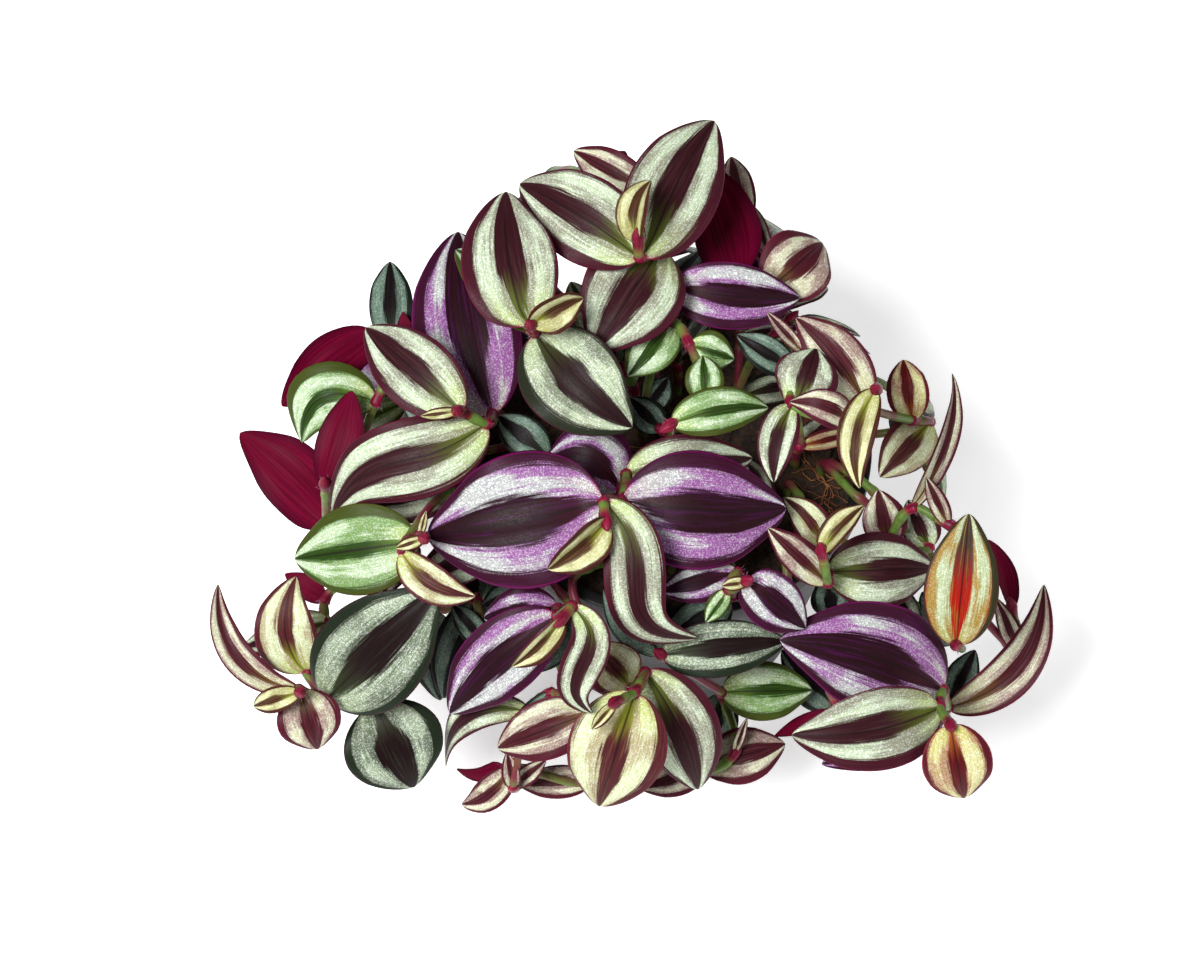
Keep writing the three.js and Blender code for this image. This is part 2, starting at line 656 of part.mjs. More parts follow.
// The frame of a leaf that is laid by rule: it leans from its stem to one side, outward and down
function ruledFrame(draw, at, tangent, sideways, length) {
  const outward = new THREE.Vector3(at.x, at.y, 0).normalize();
  const round = new THREE.Vector3(-outward.y, outward.x, 0);
  const along = tangent.clone().multiplyScalar(between(draw, STANCE.along));
  along.addScaledVector(round, sideways * between(draw, STANCE.around));
  along.addScaledVector(outward, between(draw, STANCE.outward));
  along.z += between(draw, STANCE.up);
  along.normalize();
  const sky = new THREE.Vector3(0, 0, 1).addScaledVector(outward, between(draw, STANCE.lean));
  const left = new THREE.Vector3().crossVectors(sky, along).normalize();
  return leafFrame(at, along, left, rad(between(draw, STANCE.roll)), length);
}

// Whether a cell of the view lies among the foremost leaves: there is one of them each way
const WAYS_OUT = [[1, 0], [-1, 0], [0, 1], [0, -1], [1, 1], [-1, -1], [1, -1], [-1, 1]];
function isAmong(p, foremost) {
  return WAYS_OUT.every(([x, y]) => {
    for (let i = 1; i <= GAP_CELLS; i++)
      if (foremost.has(cellOf(p.x + x * i * LAYER.cell, p.y + y * i * LAYER.cell))) return true;
    return false;
  });
}

function isOutOfPot(p) {
  return p.z > SOIL.level + STEM.rise || Math.hypot(p.x, p.y) > POT.rimRadius - STEM.seat;
}

// The share of the points that would come before the foremost leaves or stick out past them
function shownShare(points, foremost) {
  let shown = 0;
  for (const p of points) {
    const q = toView(p);
    const over = foremost.get(cellOf(q.x, q.y));
    if (over === undefined ? !isAmong(q, foremost) : over < q.z + LAYER.gap) shown++;
  }
  return shown / points.length;
}

function freeHole(holes, rule, turn, draw) {
  for (let i = 0; i < HOLE_TRIES; i++) {
    const radius = between(draw, rule.holes);
    const { x, y } = around(radius, turn + rad(STRAY.hole) * (2 * draw() - 1), 0);
    if (holes.every((hole) => Math.hypot(hole[0] - x, hole[1] - y) > HOLE.apart)) return [x, y];
  }
  return null;
}

// Leaves laid by rule along a stem, to one side and the other: each is the first drawn one that
// touches nothing and stays behind the foremost leaves
const ROW = LAYER.samplesAcross + 1;
const FREE_ROWS = { others: 1, own: 9 };
const TONES = ["silver", "deep", "green", "purple", "silver", "shade"];
function ruledLeaves(draw, rule, name, rows, foremost) {
  const found = [];
  for (let i = 0; i < rule.leaves; i++) {
    const place = rule.from + ((rule.to - rule.from) * i) / rule.leaves;
    const row = Math.floor(place * (rows.length - 1));
    const at = rows[row].point.clone().lerp(rows[row + 1].point, RULED.between[i % 2]);
    const tangent = rows[row].tangent.clone().negate();
    for (let k = 0; k < rule.tries; k++) {
      const length = between(draw, rule.size) * (1 - (SHORTER * k) / rule.tries);
      const arch = between(draw, RULED.arch);
      const fold = between(draw, RULED.fold);
      const sweep = between(draw, RULED.sweep);
      const tone = TONES[Math.floor(draw() * TONES.length)];
      const one = leaf(tone, null, null, length * LEAF_RATIO, 0, { arch, fold, sweep });
      const frame = ruledFrame(draw, at, tangent, (i + k) % 2 ? 1 : -1, length);
      const samples = bladeSamples(one, frame);
      if (samples.some((p) => p.z < CLEAR.floor)) continue;
      if (samples.slice(FREE_ROWS.others * ROW).some((p) => isTaken(p, name))) continue;
      if (samples.slice(FREE_ROWS.own * ROW).some((p) => isTaken(p))) continue;
      if (shownShare(samples, foremost) > MOST_SHOWN) continue;
      found.push({ one, frame, samples, node: at });
      break;
    }
  }
  return found;
}

// The first drawn stem of which the way is free and that bears leaves enough
function hiddenShoot(rule, name, index, holes, foremost) {
  for (let attempt = 0; attempt < STEM_TRIES; attempt++) {
    const draw = drawer(rule.seed * (index + 1) + attempt);
    const turn = rad(rule.turns[index] + STRAY.heading * (2 * draw() - 1));
    const hole = freeHole(holes, rule, turn, draw);
    if (!hole) continue;
    const points = hiddenStem(draw, rule, turn, hole);
    const curve = stemCurve(points);
    const way = samplesOf(curve).filter((p) => isOutOfPot(p));
    if (way.some((p) => isTaken(p, name)) || shownShare(way, foremost) > MOST_SHOWN) continue;
    const rows = stemRows(points);
    const leaves = ruledLeaves(draw, rule, name, rows, foremost);
    if (leaves.length >= rule.enough) return { hole, curve, rows, leaves };
  }
  return null;
}

// A shape whose shared corners are merged, as a solid that can be joined or cut
const SAME_CORNER = 1e-4;
function solidOf(geometry) {
  const bare = geometry.index ? geometry.clone() : geometry;
  bare.deleteAttribute("normal");
  bare.deleteAttribute("uv");
  const merged = mergeVertices(bare, SAME_CORNER);
  const mesh = new wasm.Mesh({
    numProp: 3,
    vertProperties: Float32Array.from(merged.attributes.position.array),
    triVerts: Uint32Array.from(merged.index.array),
  });
  return new wasm.Manifold(mesh);
}

// Joined solids as one body: the largest shell is kept, so sealed hollows are filled and loose
// scraps dropped
function joined(solids) {
  const whole = wasm.Manifold.union(solids);
  const bodies = whole.decompose().sort((a, b) => b.volume() - a.volume());
  return bodies[0];
}

function meshOf(name, solid, material) {
  const data = solid.getMesh();
  const geometry = new THREE.BufferGeometry();
  const position = new Float32Array(data.numVert * 3);
  for (let i = 0; i < data.numVert; i++)
    position.set(data.vertProperties.subarray(i * data.numProp, i * data.numProp + 3), i * 3);
  geometry.setAttribute("position", new THREE.BufferAttribute(position, 3));
  geometry.setIndex(new THREE.BufferAttribute(Uint32Array.from(data.triVerts), 1));
  geometry.computeVertexNormals();
  const mesh = new THREE.Mesh(geometry, material);
  mesh.name = name;
  return mesh;
}

// Moves each corner of a geometry to where a rule puts it
function bent(geometry, rule) {
  const at = geometry.attributes.position;
  for (let i = 0; i < at.count; i++) {
    const p = rule(at.getX(i), at.getY(i), at.getZ(i));
    at.setXYZ(i, p.x, p.y, p.z);
  }
}

// A leaf's blade: a thin board bent to its frame, three corners across. The corners are set out a
// little so that the facets keep the leaf's width.
function bladeSolid({ one, frame, node }, columns, place) {
  const steps = THREE.MathUtils.clamp(Math.round(frame.length / BLADE.segmentLength), ...BLADE.segments);
  const board = new THREE.BoxGeometry(2, 1, BLADE.thick, columns, steps, 1);
  const toNode = node.clone().sub(place(frame.root));
  bent(board, (x, y, z) => {
    const p = bladePoint(one, frame, y + 0.5, -x * BLADE.facetShare, z);
    if (y > -0.5) return place(p);
    return place(p.addScaledVector(frame.along, -BLADE.sinkIn)).add(toNode);
  });
  return solidOf(board);
}

// A stem: a bar bent along its rows
function stemSolid(rows) {
  const steps = rows.length - 1;
  const bar = new THREE.CylinderGeometry(STEM.radius, STEM.radius, steps, STEM.sides, steps);
  const first = rows[0].tangent;
  const aside = new THREE.Vector3(first.y, first.z, first.x);
  const normals = rows.map(({ tangent }) => {
    aside.addScaledVector(tangent, -aside.dot(tangent)).normalize();
    return aside.clone();
  });
  bent(bar, (x, y, z) => {
    const i = Math.round(y + steps / 2);
    const { point, tangent } = rows[i];
    const side = new THREE.Vector3().crossVectors(tangent, normals[i]);
    return point.clone().addScaledVector(normals[i], x).addScaledVector(side, -z);
  });
  return solidOf(bar);
}

function potSolid() {
  const profile = [
    [0, 0],
    [POT.baseRadius - POT.baseCorner, 0],
    [wallRadius(POT.baseCorner), POT.baseCorner],
    [wallRadius(UNDER_RIM), UNDER_RIM],
    [POT.rimRadius, UNDER_RIM],
    [POT.rimRadius, POT.height],
    [wallRadius(POT.height) - POT.wall, POT.height],
    [wallRadius(UNDER_RIM) - POT.wall, UNDER_RIM],
    [wallRadius(POT.floor) - POT.wall, POT.floor],
    [0, POT.floor],
  ];
  const corners = profile.map(([r, z]) => new THREE.Vector2(r, z));
  let solid = turnedUp(solidOf(new THREE.LatheGeometry(corners, POT.sides)));
  for (let i = 0; i < POT.drains; i++) {
    const at = around(POT.drainCircle, (2 * Math.PI * (i + 0.5)) / POT.drains, 0);
    solid = solid.subtract(upright(POT.drainRadius, POT.drainSides, 4 * POT.floor, at));
  }
  return solid;
}

// An upright bar about a place, as far above it as below
function upright(radius, sides, height, at) {
  const bar = new THREE.CylinderGeometry(radius, radius, height, sides);
  bar.rotateX(Math.PI / 2);
  bar.translate(at.x, at.y, at.z);
  return solidOf(bar);
}

// A lathe turns about Y: this stands it up on Z
function turnedUp(solid) {
  return solid.rotate([90, 0, 0]);
}

function soilSolid(holes) {
  const low = POT.floor + SOIL.gap;
  const inside = (z) => wallRadius(z) - POT.wall - SOIL.gap;
  const edge = inside(SOIL.level);
  const profile = [new THREE.Vector2(0, low), new THREE.Vector2(inside(low), low)];
  for (let i = 0; i <= SOIL.rings; i++) {
    const share = 1 - i / SOIL.rings;
    profile.push(new THREE.Vector2(edge * share, SOIL.level + SOIL.crown * (1 - share * share)));
  }
  let solid = turnedUp(solidOf(new THREE.LatheGeometry(profile, POT.sides)));
  for (const [x, y] of holes) {
    const mouth = new THREE.Vector3(x, y, SOIL_TOP);
    solid = solid.subtract(upright(HOLE.radius, HOLE.sides, 2 * HOLE.depth, mouth));
  }
  return solid;
}

// What the pieces are made of, and the tone of each foremost shoot that isn't silver
const MATERIALS = {
  pot: new THREE.MeshStandardMaterial({ color: 0x17171a, roughness: 0.45, metalness: 0 }),
  soil: new THREE.MeshStandardMaterial({ color: 0x2a1c14, roughness: 1, metalness: 0 }),
  silver: new THREE.MeshStandardMaterial({ color: 0xa9b59a, roughness: 0.45, metalness: 0 }),
  deep: new THREE.MeshStandardMaterial({ color: 0x5c7350, roughness: 0.45, metalness: 0 }),
  green: new THREE.MeshStandardMaterial({ color: 0x7fa05a, roughness: 0.45, metalness: 0 }),
  purple: new THREE.MeshStandardMaterial({ color: 0x84568a, roughness: 0.45, metalness: 0 }),
  lime: new THREE.MeshStandardMaterial({ color: 0xb0bf62, roughness: 0.45, metalness: 0 }),
  shade: new THREE.MeshStandardMaterial({ color: 0x4c5f50, roughness: 0.45, metalness: 0 }),
};
const SHOOT_TONES = {
  centre: "purple",
  lower_right: "purple",
  low_left: "purple",
  left_middle: "green",
  centre_green: "green",
  low_green: "green",
  lower_left: "deep",
  right_middle: "lime",
};

const plant = new THREE.Group();
plant.name = "potted_tradescantia";

const pot = potSamples();
lay(pot.map(toView));
take(pot, "pot");
const leaves = layLeaves();

// Where the foremost leaves lie, for what they hide
const foremost = new Map();
for (const { samples } of leaves)
  for (const p of samples) {
    const cell = cellOf(p.x, p.y);
    foremost.set(cell, Math.max(foremost.get(cell) ?? -Infinity, p.z));
  }
for (const item of leaves) take(item.samples.map(toModel), BASES[item.shoot]);

// The ways of the foremost stems come first, so that no leaf laid by rule blocks one
const shoots = Object.entries(SHOOTS).map(([name, [hole]]) => {
  const own = leaves.filter((item) => item.shoot === name);
  own.sort((a, b) => b.frame.root.z - a.frame.root.z);
  const roots = stemNodes(own);
  const points = stemWay(BASES[name], hole, roots);
  takeStem(stemCurve(points), BASES[name]);
  const passed = lengthOf(roots) / lengthOf(points);
  return { name, own, rows: stemRows(points), passed };
});

const bases = Object.keys(SHOOTS).filter((name) => BASES[name] === name);
const holes = bases.map((name) => SHOOTS[name][0]);
const HIDDEN = [
  { kind: "hanging", rule: HANGING, tone: "deep" },
  { kind: "inner", rule: INNER, tone: "shade" },
];
for (const { kind, rule, tone } of HIDDEN) {
  rule.turns.forEach((turn, i) => {
    const name = kind + "_" + String(i + 1).padStart(2, "0");
    const shoot = hiddenShoot(rule, name, i, holes, foremost);
    if (!shoot) return;
    holes.push(shoot.hole);
    takeStem(shoot.curve, name);
    const solids = [stemSolid(shoot.rows)];
    for (const item of shoot.leaves) {
      take(item.samples, name);
      solids.push(bladeSolid(item, 1, (p) => p));
    }
    plant.add(meshOf("stem_" + name, joined(solids), MATERIALS[tone]));
  });
}

const bodies = {};
shoots.forEach(({ name, own, rows, passed }, i) => {
  const base = BASES[name];
  const from = THREE.MathUtils.lerp(passed, 1, LOWER.from);
  const to = THREE.MathUtils.lerp(passed, 1, LOWER.to);
  const rule = { ...LOWER, from, to };
  const lower = ruledLeaves(drawer(i + 1), rule, base, rows, foremost);
  const solids = own.map((item) => bladeSolid(item, item.one.width < BLADE.foldedFrom ? 1 : 2, toModel));
  for (const item of lower) {
    take(item.samples, base);
    solids.push(bladeSolid(item, 1, (p) => p));
  }
  bodies[base] = [...(bodies[base] ?? []), ...solids, stemSolid(rows)];
});
for (const [name, solids] of Object.entries(bodies)) {
  plant.add(meshOf("stem_" + name, joined(solids), MATERIALS[SHOOT_TONES[name] ?? "silver"]));
}

plant.add(meshOf("pot", potSolid(), MATERIALS.pot));
plant.add(meshOf("soil", soilSolid(holes), MATERIALS.soil));

export default plant;
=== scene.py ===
import math

import bmesh
import bpy
import numpy as np
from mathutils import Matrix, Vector, noise


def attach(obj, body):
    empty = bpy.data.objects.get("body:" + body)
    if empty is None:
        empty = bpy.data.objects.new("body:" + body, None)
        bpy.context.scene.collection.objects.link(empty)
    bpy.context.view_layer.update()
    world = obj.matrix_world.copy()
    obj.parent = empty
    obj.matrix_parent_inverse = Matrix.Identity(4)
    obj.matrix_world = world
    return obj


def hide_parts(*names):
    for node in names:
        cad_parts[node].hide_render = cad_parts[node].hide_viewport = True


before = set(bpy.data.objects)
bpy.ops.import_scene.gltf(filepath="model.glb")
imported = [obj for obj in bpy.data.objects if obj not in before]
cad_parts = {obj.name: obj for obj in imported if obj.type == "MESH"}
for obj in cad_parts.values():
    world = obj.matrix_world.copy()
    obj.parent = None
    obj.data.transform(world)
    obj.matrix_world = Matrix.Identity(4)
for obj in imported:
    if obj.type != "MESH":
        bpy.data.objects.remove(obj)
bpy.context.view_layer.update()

MM = 0.001

# The pot and its soil, in millimetres
POT = {"height": 110, "rim_radius": 68, "rim_tall": 9, "rim_proud": 2.6, "base_radius": 50,
       "base_corner": 1.5, "wall": 2, "floor": 3, "drains": 5, "drain_radius": 4.5,
       "drain_circle": 32}
UNDER_RIM = POT["height"] - POT["rim_tall"]
SOIL = {"level": 101, "crown": 2, "gap": 0.4}
SOIL_TOP = SOIL["level"] + SOIL["crown"]
HOLE_APART = 7.4

# The plant, in millimetres
STEM = {"radius": 2, "step_length": 21, "seat": 20, "rise": 7, "neck": 4, "node_size": 6, "tip": 3}
BLADE = {"root_half": 1.1, "tip_half": 0.35}

# A blade's outline: widest nearer its root the smaller the first, fuller the smaller the second,
# and drawn in by a share from a place along it to its tip
OUTLINE = {"widest": 0.82, "full": 0.58, "drawn_in": 0.18, "drawn_from": 0.7}
RIPPLE = {"turns": 9, "apart": 2}

# The mound's skin in the view, and how its leaves keep clear of each other
SKIN = {"middle": (628, 470), "radii": (146, 120), "crest": 46, "fall": 40, "steepest": 34}
LAYER = {"cell": 2.4, "gap": 2.5, "step": 3.5, "samples_along": 26, "samples_across": 13}
CLEAR = {"voxel": 2.5, "step": 2, "floor": 18, "pot_step": 2, "pot_turn": 2, "soil_turn": 3,
         "soil_rim": 4}

# The view that the plant is best seen from, in pixels but for its angle and its distance
VIEW = {"elevation": 60, "distance": 900, "mm_per_pixel": 0.34, "middle": (600, 480),
        "rim_at": (672, 440), "width": 1200}

# One leaf: its tone, root and tip in pixels of the view, greatest width in millimetres, how many
# leaves deep it lies, and how it bends. Angles are degrees; arch, sweep, hook, curl and wave are
# shares of its size. A hook bends it aside toward its tip and back toward its root.
FLAT = {"tilt": 0, "roll": 0, "arch": 0.1, "sweep": 0, "hook": 0, "fold": 14, "curl": 0.22,
        "twist": 0, "wave": 0}


def leaf(tone, root, tip, width, deep, **bend):
    return {"tone": tone, "root": root, "tip": tip, "width": width, "deep": deep, **FLAT, **bend}


# The foremost leafy stems, each with the place of its hole in the soil
SHOOTS = {
    "crown": [
        (-5, 14),
        leaf("young", (638, 241), (651, 181), 17, 1, fold=46, sweep=0.1, tilt=20, roll=-24),
        leaf("silver", (645, 260), (714, 121), 33, 2, arch=0.07, sweep=0.03),
        leaf("silver", (640, 258), (520, 184), 31, 2, arch=0.12, sweep=-0.03),
        leaf("silver", (661, 248), (593, 351), 36, 4, arch=0.15),
        leaf("purple", (672, 287), (799, 298), 25, 5, fold=22, sweep=-0.03),
        leaf("pale", (648, 190), (574, 151), 16, 6, fold=25),
    ],
    "crown_right": [
        (23, 22),
        leaf("silver", (738, 278), (699, 159), 25, 6, roll=165, arch=0.12),
        leaf("pale", (745, 225), (731, 157), 13, 7, fold=25),
        leaf("pale", (768, 290), (822, 243), 27, 6, arch=0.2, fold=20),
        leaf("pale", (770, 258), (752, 206), 9, 7, fold=50),
    ],
    "upper_left": [
        (-21, 15),
        leaf("young", (531, 325), (583, 298), 20, 1, fold=46, sweep=0.1, roll=26),
        leaf("silver", (527, 331), (506, 192), 34, 2, arch=0.1, sweep=0.05),
        leaf("deep", (536, 333), (632, 427), 35, 3, arch=0.12, sweep=-0.06),
    ],
    "left": [
        (-46, -1),
        leaf("young", (458, 411), (421, 416), 6, 1, fold=45),
        leaf("silver", (462, 412), (366, 328), 27, 3, fold=20, arch=0.08),
        leaf("silver", (487, 424), (333, 513), 29, 4, sweep=-0.06, hook=-0.045, arch=0.14),
        leaf("purple", (492, 415), (458, 232), 38, 5, arch=0.1, sweep=0.05),
    ],
    "far_left": [
        (-46, -1),
        leaf("shade", (392, 345), (390, 262), 16, 6, fold=20),
        leaf("deep", (405, 345), (403, 312), 6, 6, roll=170),
        leaf("deep", (374, 332), (282, 406), 20, 6, roll=160),
        leaf("green", (376, 402), (302, 442), 24, 5, sweep=-0.34, arch=0.2),
        leaf("purple", (325, 485), (352, 391), 17, 5, roll=165),
        leaf("purple", (330, 522), (240, 433), 26, 6, roll=160, arch=0.14),
    ],
    "left_middle": [
        (-52, -9),
        leaf("young", (424, 538), (396, 548), 6, 1, fold=40),
        leaf("young", (420, 536), (426, 511), 4, 2, fold=40),
        leaf("green", (418, 541), (295, 559), 33, 3, arch=0.08, fold=18),
        leaf("lime", (402, 552), (475, 596), 15, 2, sweep=-0.14, fold=24),
    ],
    "centre": [
        (-5, -8),
        leaf("young", (606, 520), (548, 569), 21, 1, fold=44, tilt=12, roll=-28),
        leaf("silver", (604, 501), (698, 638), 22, 2, sweep=-0.13, hook=-0.095, arch=0.15,
             twist=20),
        leaf("purple", (607, 500), (427, 536), 48, 3, arch=0.09, fold=12, sweep=0.02),
        leaf("purple", (622, 500), (786, 508), 42, 3, arch=0.1, sweep=-0.04, wave=0.05),
        leaf("purple", (620, 490), (546, 461), 28, 5, sweep=-0.2, arch=0.2),
        leaf("silver", (626, 474), (752, 458), 23, 5, arch=0.1),
        leaf("shade", (548, 456), (498, 416), 15, 6),
    ],
    "centre_green": [
        (10, 6),
        leaf("green", (706, 402), (703, 356), 14, 3, arch=0.2),
        leaf("green", (672, 424), (768, 408), 17, 3, arch=0.14, sweep=0.06),
        leaf("green", (690, 345), (734, 359), 15, 4, arch=0.2),
        leaf("green", (672, 322), (628, 376), 18, 5),
        leaf("shade", (646, 410), (668, 378), 11, 6),
        leaf("shade", (662, 430), (630, 398), 12, 6),
    ],
    "right_top": [
        (34, -1),
        leaf("silver", (792, 405), (774, 482), 15, 2, fold=25, sweep=-0.08),
        leaf("pale", (852, 425), (790, 402), 13, 2, arch=0.28, sweep=-0.12),
        leaf("silver", (798, 402), (816, 349), 23, 3, arch=0.22),
        leaf("sun", (800, 446), (862, 430), 9, 3, fold=40),
        leaf("shade", (792, 370), (737, 335), 14, 5, fold=30),
        leaf("pale", (804, 353), (767, 312), 8, 5, fold=50),
    ],
    "right_edge": [
        (48, 9),
        leaf("young", (876, 390), (860, 488), 15, 2, sweep=-0.12, fold=26, twist=25),
        leaf("sun", (912, 420), (903, 360), 16, 3, arch=0.22, fold=24),
        leaf("pale", (866, 406), (796, 318), 20, 4, sweep=-0.06),
        leaf("lime", (930, 422), (880, 477), 18, 4, arch=0.16),
    ],
    "far_right": [
        (51, -9),
        leaf("pale", (912, 508), (952, 374), 12, 3, fold=52, sweep=-0.1, twist=40),
        leaf("pale", (948, 524), (926, 477), 8, 3, fold=30),
        leaf("pale", (890, 545), (878, 490), 16, 4),
        leaf("silver", (930, 548), (908, 500), 14, 5),
    ],
    "outer_tip": [
        (51, -9),
        leaf("purple", (1012, 609), (988, 540), 10, 6, roll=150, fold=35),
        leaf("pale", (1020, 652), (996, 598), 9, 6, fold=30),
    ],
    "right_middle": [
        (39, -17),
        leaf("young", (822, 553), (864, 506), 14, 2, fold=42, roll=-26),
        leaf("silver", (827, 572), (934, 568), 27, 3, arch=0.14),
        leaf("pale", (828, 583), (768, 528), 13, 3),
        leaf("lime", (822, 545), (784, 498), 13, 4, arch=0.25, sweep=-0.1),
        leaf("shade", (827, 582), (834, 620), 14, 7),
    ],
    "right_low": [
        (20, -20),
        leaf("young", (745, 582), (722, 586), 6, 1, fold=30),
        leaf("purple", (742, 576), (805, 628), 20, 2, arch=0.14),
        leaf("green", (728, 590), (706, 622), 8, 3, arch=0.15),
        leaf("purple", (737, 572), (660, 592), 15, 6),
        leaf("shade", (730, 600), (662, 646), 17, 7),
    ],
    "lower_right": [
        (43, -33),
        leaf("sun", (950, 724), (964, 798), 25, 1, arch=0.16),
        leaf("silver", (940, 707), (792, 735), 29, 2, arch=0.14, sweep=0.07),
        leaf("purple", (943, 690), (780, 640), 40, 3, arch=0.12, sweep=-0.06),
        leaf("pale", (948, 707), (1044, 585), 19, 4, sweep=-0.2, fold=32, twist=-40),
        leaf("purple", (925, 738), (822, 764), 14, 5, fold=20),
        leaf("purple", (840, 712), (775, 736), 7, 6, roll=170),
        leaf("shade", (950, 702), (975, 650), 12, 6),
        leaf("shade", (838, 706), (782, 650), 18, 7),
    ],
    "right_outer": [
        (43, -33),
        leaf("autumn", (956, 645), (969, 514), 27, 2, arch=0.12, fold=18),
        leaf("shade", (956, 643), (922, 592), 16, 6),
    ],
    "low_green": [
        (16, -38),
        leaf("dusk", (662, 655), (786, 641), 21, 4, fold=20),
        leaf("green", (722, 692), (812, 690), 21, 5, arch=0.14),
        leaf("pale", (735, 752), (747, 718), 5, 4, fold=40),
        leaf("pale", (708, 765), (785, 744), 20, 6, arch=0.14),
        leaf("pale", (705, 770), (640, 788), 13, 6),
        leaf("shade", (658, 648), (604, 590), 17, 7),
        leaf("shade", (722, 694), (712, 752), 15, 7),
    ],
    "lower_centre": [
        (-1, -46),
        leaf("young", (616, 702), (592, 729), 6, 1, fold=35),
        leaf("lime", (635, 692), (599, 806), 35, 2, arch=0.12),
        leaf("lime", (630, 686), (592, 643), 20, 3, arch=0.22),
        leaf("silver", (645, 672), (698, 789), 28, 3, arch=0.14, sweep=0.06),
    ],
    "low_left": [
        (-24, -32),
        leaf("young", (562, 618), (512, 666), 14, 1, fold=46, tilt=10, roll=-28),
        leaf("silver", (572, 606), (592, 713), 17, 2, fold=30, hook=-0.11, twist=20),
        leaf("purple", (557, 616), (450, 713), 27, 3, sweep=-0.04),
        leaf("purple", (558, 608), (484, 618), 19, 4, arch=0.2),
        leaf("shade", (572, 610), (536, 672), 15, 7),
    ],
    "bottom": [
        (-16, -50),
        leaf("pale", (592, 712), (498, 748), 22, 3, fold=20),
        leaf("shade", (552, 693), (512, 737), 10, 4, fold=30),
        leaf("silver", (530, 712), (446, 766), 13, 5, sweep=-0.28, arch=0.1, twist=50),
        leaf("pale", (592, 780), (518, 784), 12, 6),
        leaf("pale", (513, 787), (507, 752), 8, 4, fold=35),
        leaf("purple", (505, 757), (457, 769), 7, 5, roll=150, sweep=0.28),
        leaf("pale", (510, 768), (462, 804), 12, 5, sweep=0.12, twist=30),
        leaf("pale", (515, 785), (546, 760), 8, 5, fold=30),
    ],
    "lower_left": [
        (-44, -29),
        leaf("young", (300, 692), (254, 706), 11, 1, fold=35),
        leaf("pale", (292, 690), (218, 585), 13, 2, sweep=0.2, fold=30, twist=30),
        leaf("lime", (306, 672), (296, 577), 22, 3, sweep=0.17, arch=0.18),
        leaf("pale", (300, 690), (318, 749), 23, 2, arch=0.2),
        leaf("dusk", (326, 700), (437, 590), 39, 3, arch=0.1),
        leaf("purple", (325, 600), (285, 574), 9, 6, roll=165),
        leaf("dusk", (374, 704), (414, 787), 36, 5, arch=0.16),
    ],
    "shaded": [
        (-24, -32),
        leaf("shade", (476, 600), (444, 698), 20, 6, fold=22),
        leaf("shade", (486, 645), (452, 604), 10, 6),
        leaf("shade", (476, 602), (462, 555), 18, 7),
        leaf("shade", (430, 610), (440, 700), 18, 7),
        leaf("shade", (535, 590), (482, 606), 14, 7),
    ],
}

# Shoots that share a hole branch from one base and are one piece, named for the first of them
BASES = {name: next(other for other in SHOOTS if SHOOTS[other][0] == hole)
         for name, (hole, *_) in SHOOTS.items()}

# The leaves that the view hides, or shows only in the gaps between the foremost ones: lower leaves
# on the foremost stems, stems that arch over the rim and hang all round, short inner stems that
# fill the mound, and small young leaves. They are laid out by rule.
LOWER = {"leaves": 4, "from": 0.04, "to": 0.66, "size": (26, 46), "tries": 30}
HANGING = {"turns": (80, 355, 132, 217, 185, 100, 153, 18, 330, 60, 290, 245), "seed": 1000,
           "holes": (20, 54), "reach": (80, 122), "rise": (6, 66), "end_height": (30, 96),
           "leaves": 6, "enough": 5, "from": 0.005, "to": 0.62, "size": (36, 56), "tries": 16}
INNER = {"turns": (20, 157, 72, 300), "seed": 51000, "holes": (2, 40), "reach": (14, 58),
         "rise": (16, 60), "end_height": None, "leaves": 6, "enough": 5, "from": 0.01, "to": 0.75,
         "size": (28, 44), "tries": 24}
SMALL = {"leaves": 7, "from": 0, "to": 0.8, "size": (11, 21), "tries": 14, "seed": 70000,
         "fold": 20}
STEM_TRIES = 40
HOLE_TRIES = 60

# How far round the pot, in degrees, a stem's heading, its hole and its end stray
STRAY = {"heading": 15, "hole": 40, "end": 20}

# A hanging stem's way, as shares of its reach and of its swing; an inner stem's middle, as shares
# of its rise and of its reach
ARCH = {"shoulder": (0.97, 0.6), "crest": (0.72, 0.3), "inner_rise": 0.8, "inner_reach": 0.4}

# Leaves laid by rule: their width to their length, the most of one that may show, how far out the
# foremost leaves are looked for, and how much shorter the last tried one is than the first
LEAF_RATIO = 0.52
MOST_SHOWN = 0.04
GAP_CELLS = 11
SHORTER = 0.4
RULED = {"arch": (0.06, 0.2), "fold": (10, 24), "sweep": (-0.07, 0.07), "between": (0.65, 0.35)}
TONES = ("silver", "deep", "green", "purple", "silver", "shade")
FREE_ROWS = {"others": 1, "own": 9}

# How such a leaf stands off its stem: least and most shares of its direction along the stem, round
# the pot, outward and up, how far its face leans out, and its roll in degrees
STANCE = {"along": (0.2, 0.65), "around": (0.35, 1.1), "outward": (0.2, 0.9), "up": (0.25, -0.6),
          "lean": (0.3, 1.1), "roll": (-20, 20)}

# A stem's way to its hole. Leans are degrees; a lift raises a way over the rim, or draws an inner
# one toward its hole.
WAYS = {"leans": (0, 7, -7, 14, -14, 21, -21, 30, -30, 40, -40), "lifts": (0, 5, 10, 16, 24),
        "over_rim": 7, "inside_rim": 2, "outside_from": 12, "outside_below": 30, "drawn_by": 60,
        "ends": (3, -4)}

ELEVATION = math.radians(VIEW["elevation"])
RIGHT = np.array([1.0, 0.0, 0.0])
UP = np.array([0.0, math.sin(ELEVATION), math.cos(ELEVATION)])
BACK = np.array([0.0, -math.cos(ELEVATION), math.sin(ELEVATION)])


def picture(pixel):
    """A pixel of the view as millimetres right and up from the view's middle."""
    x, y = pixel
    scale = VIEW["mm_per_pixel"]
    return (x - VIEW["middle"][0]) * scale, (VIEW["middle"][1] - y) * scale


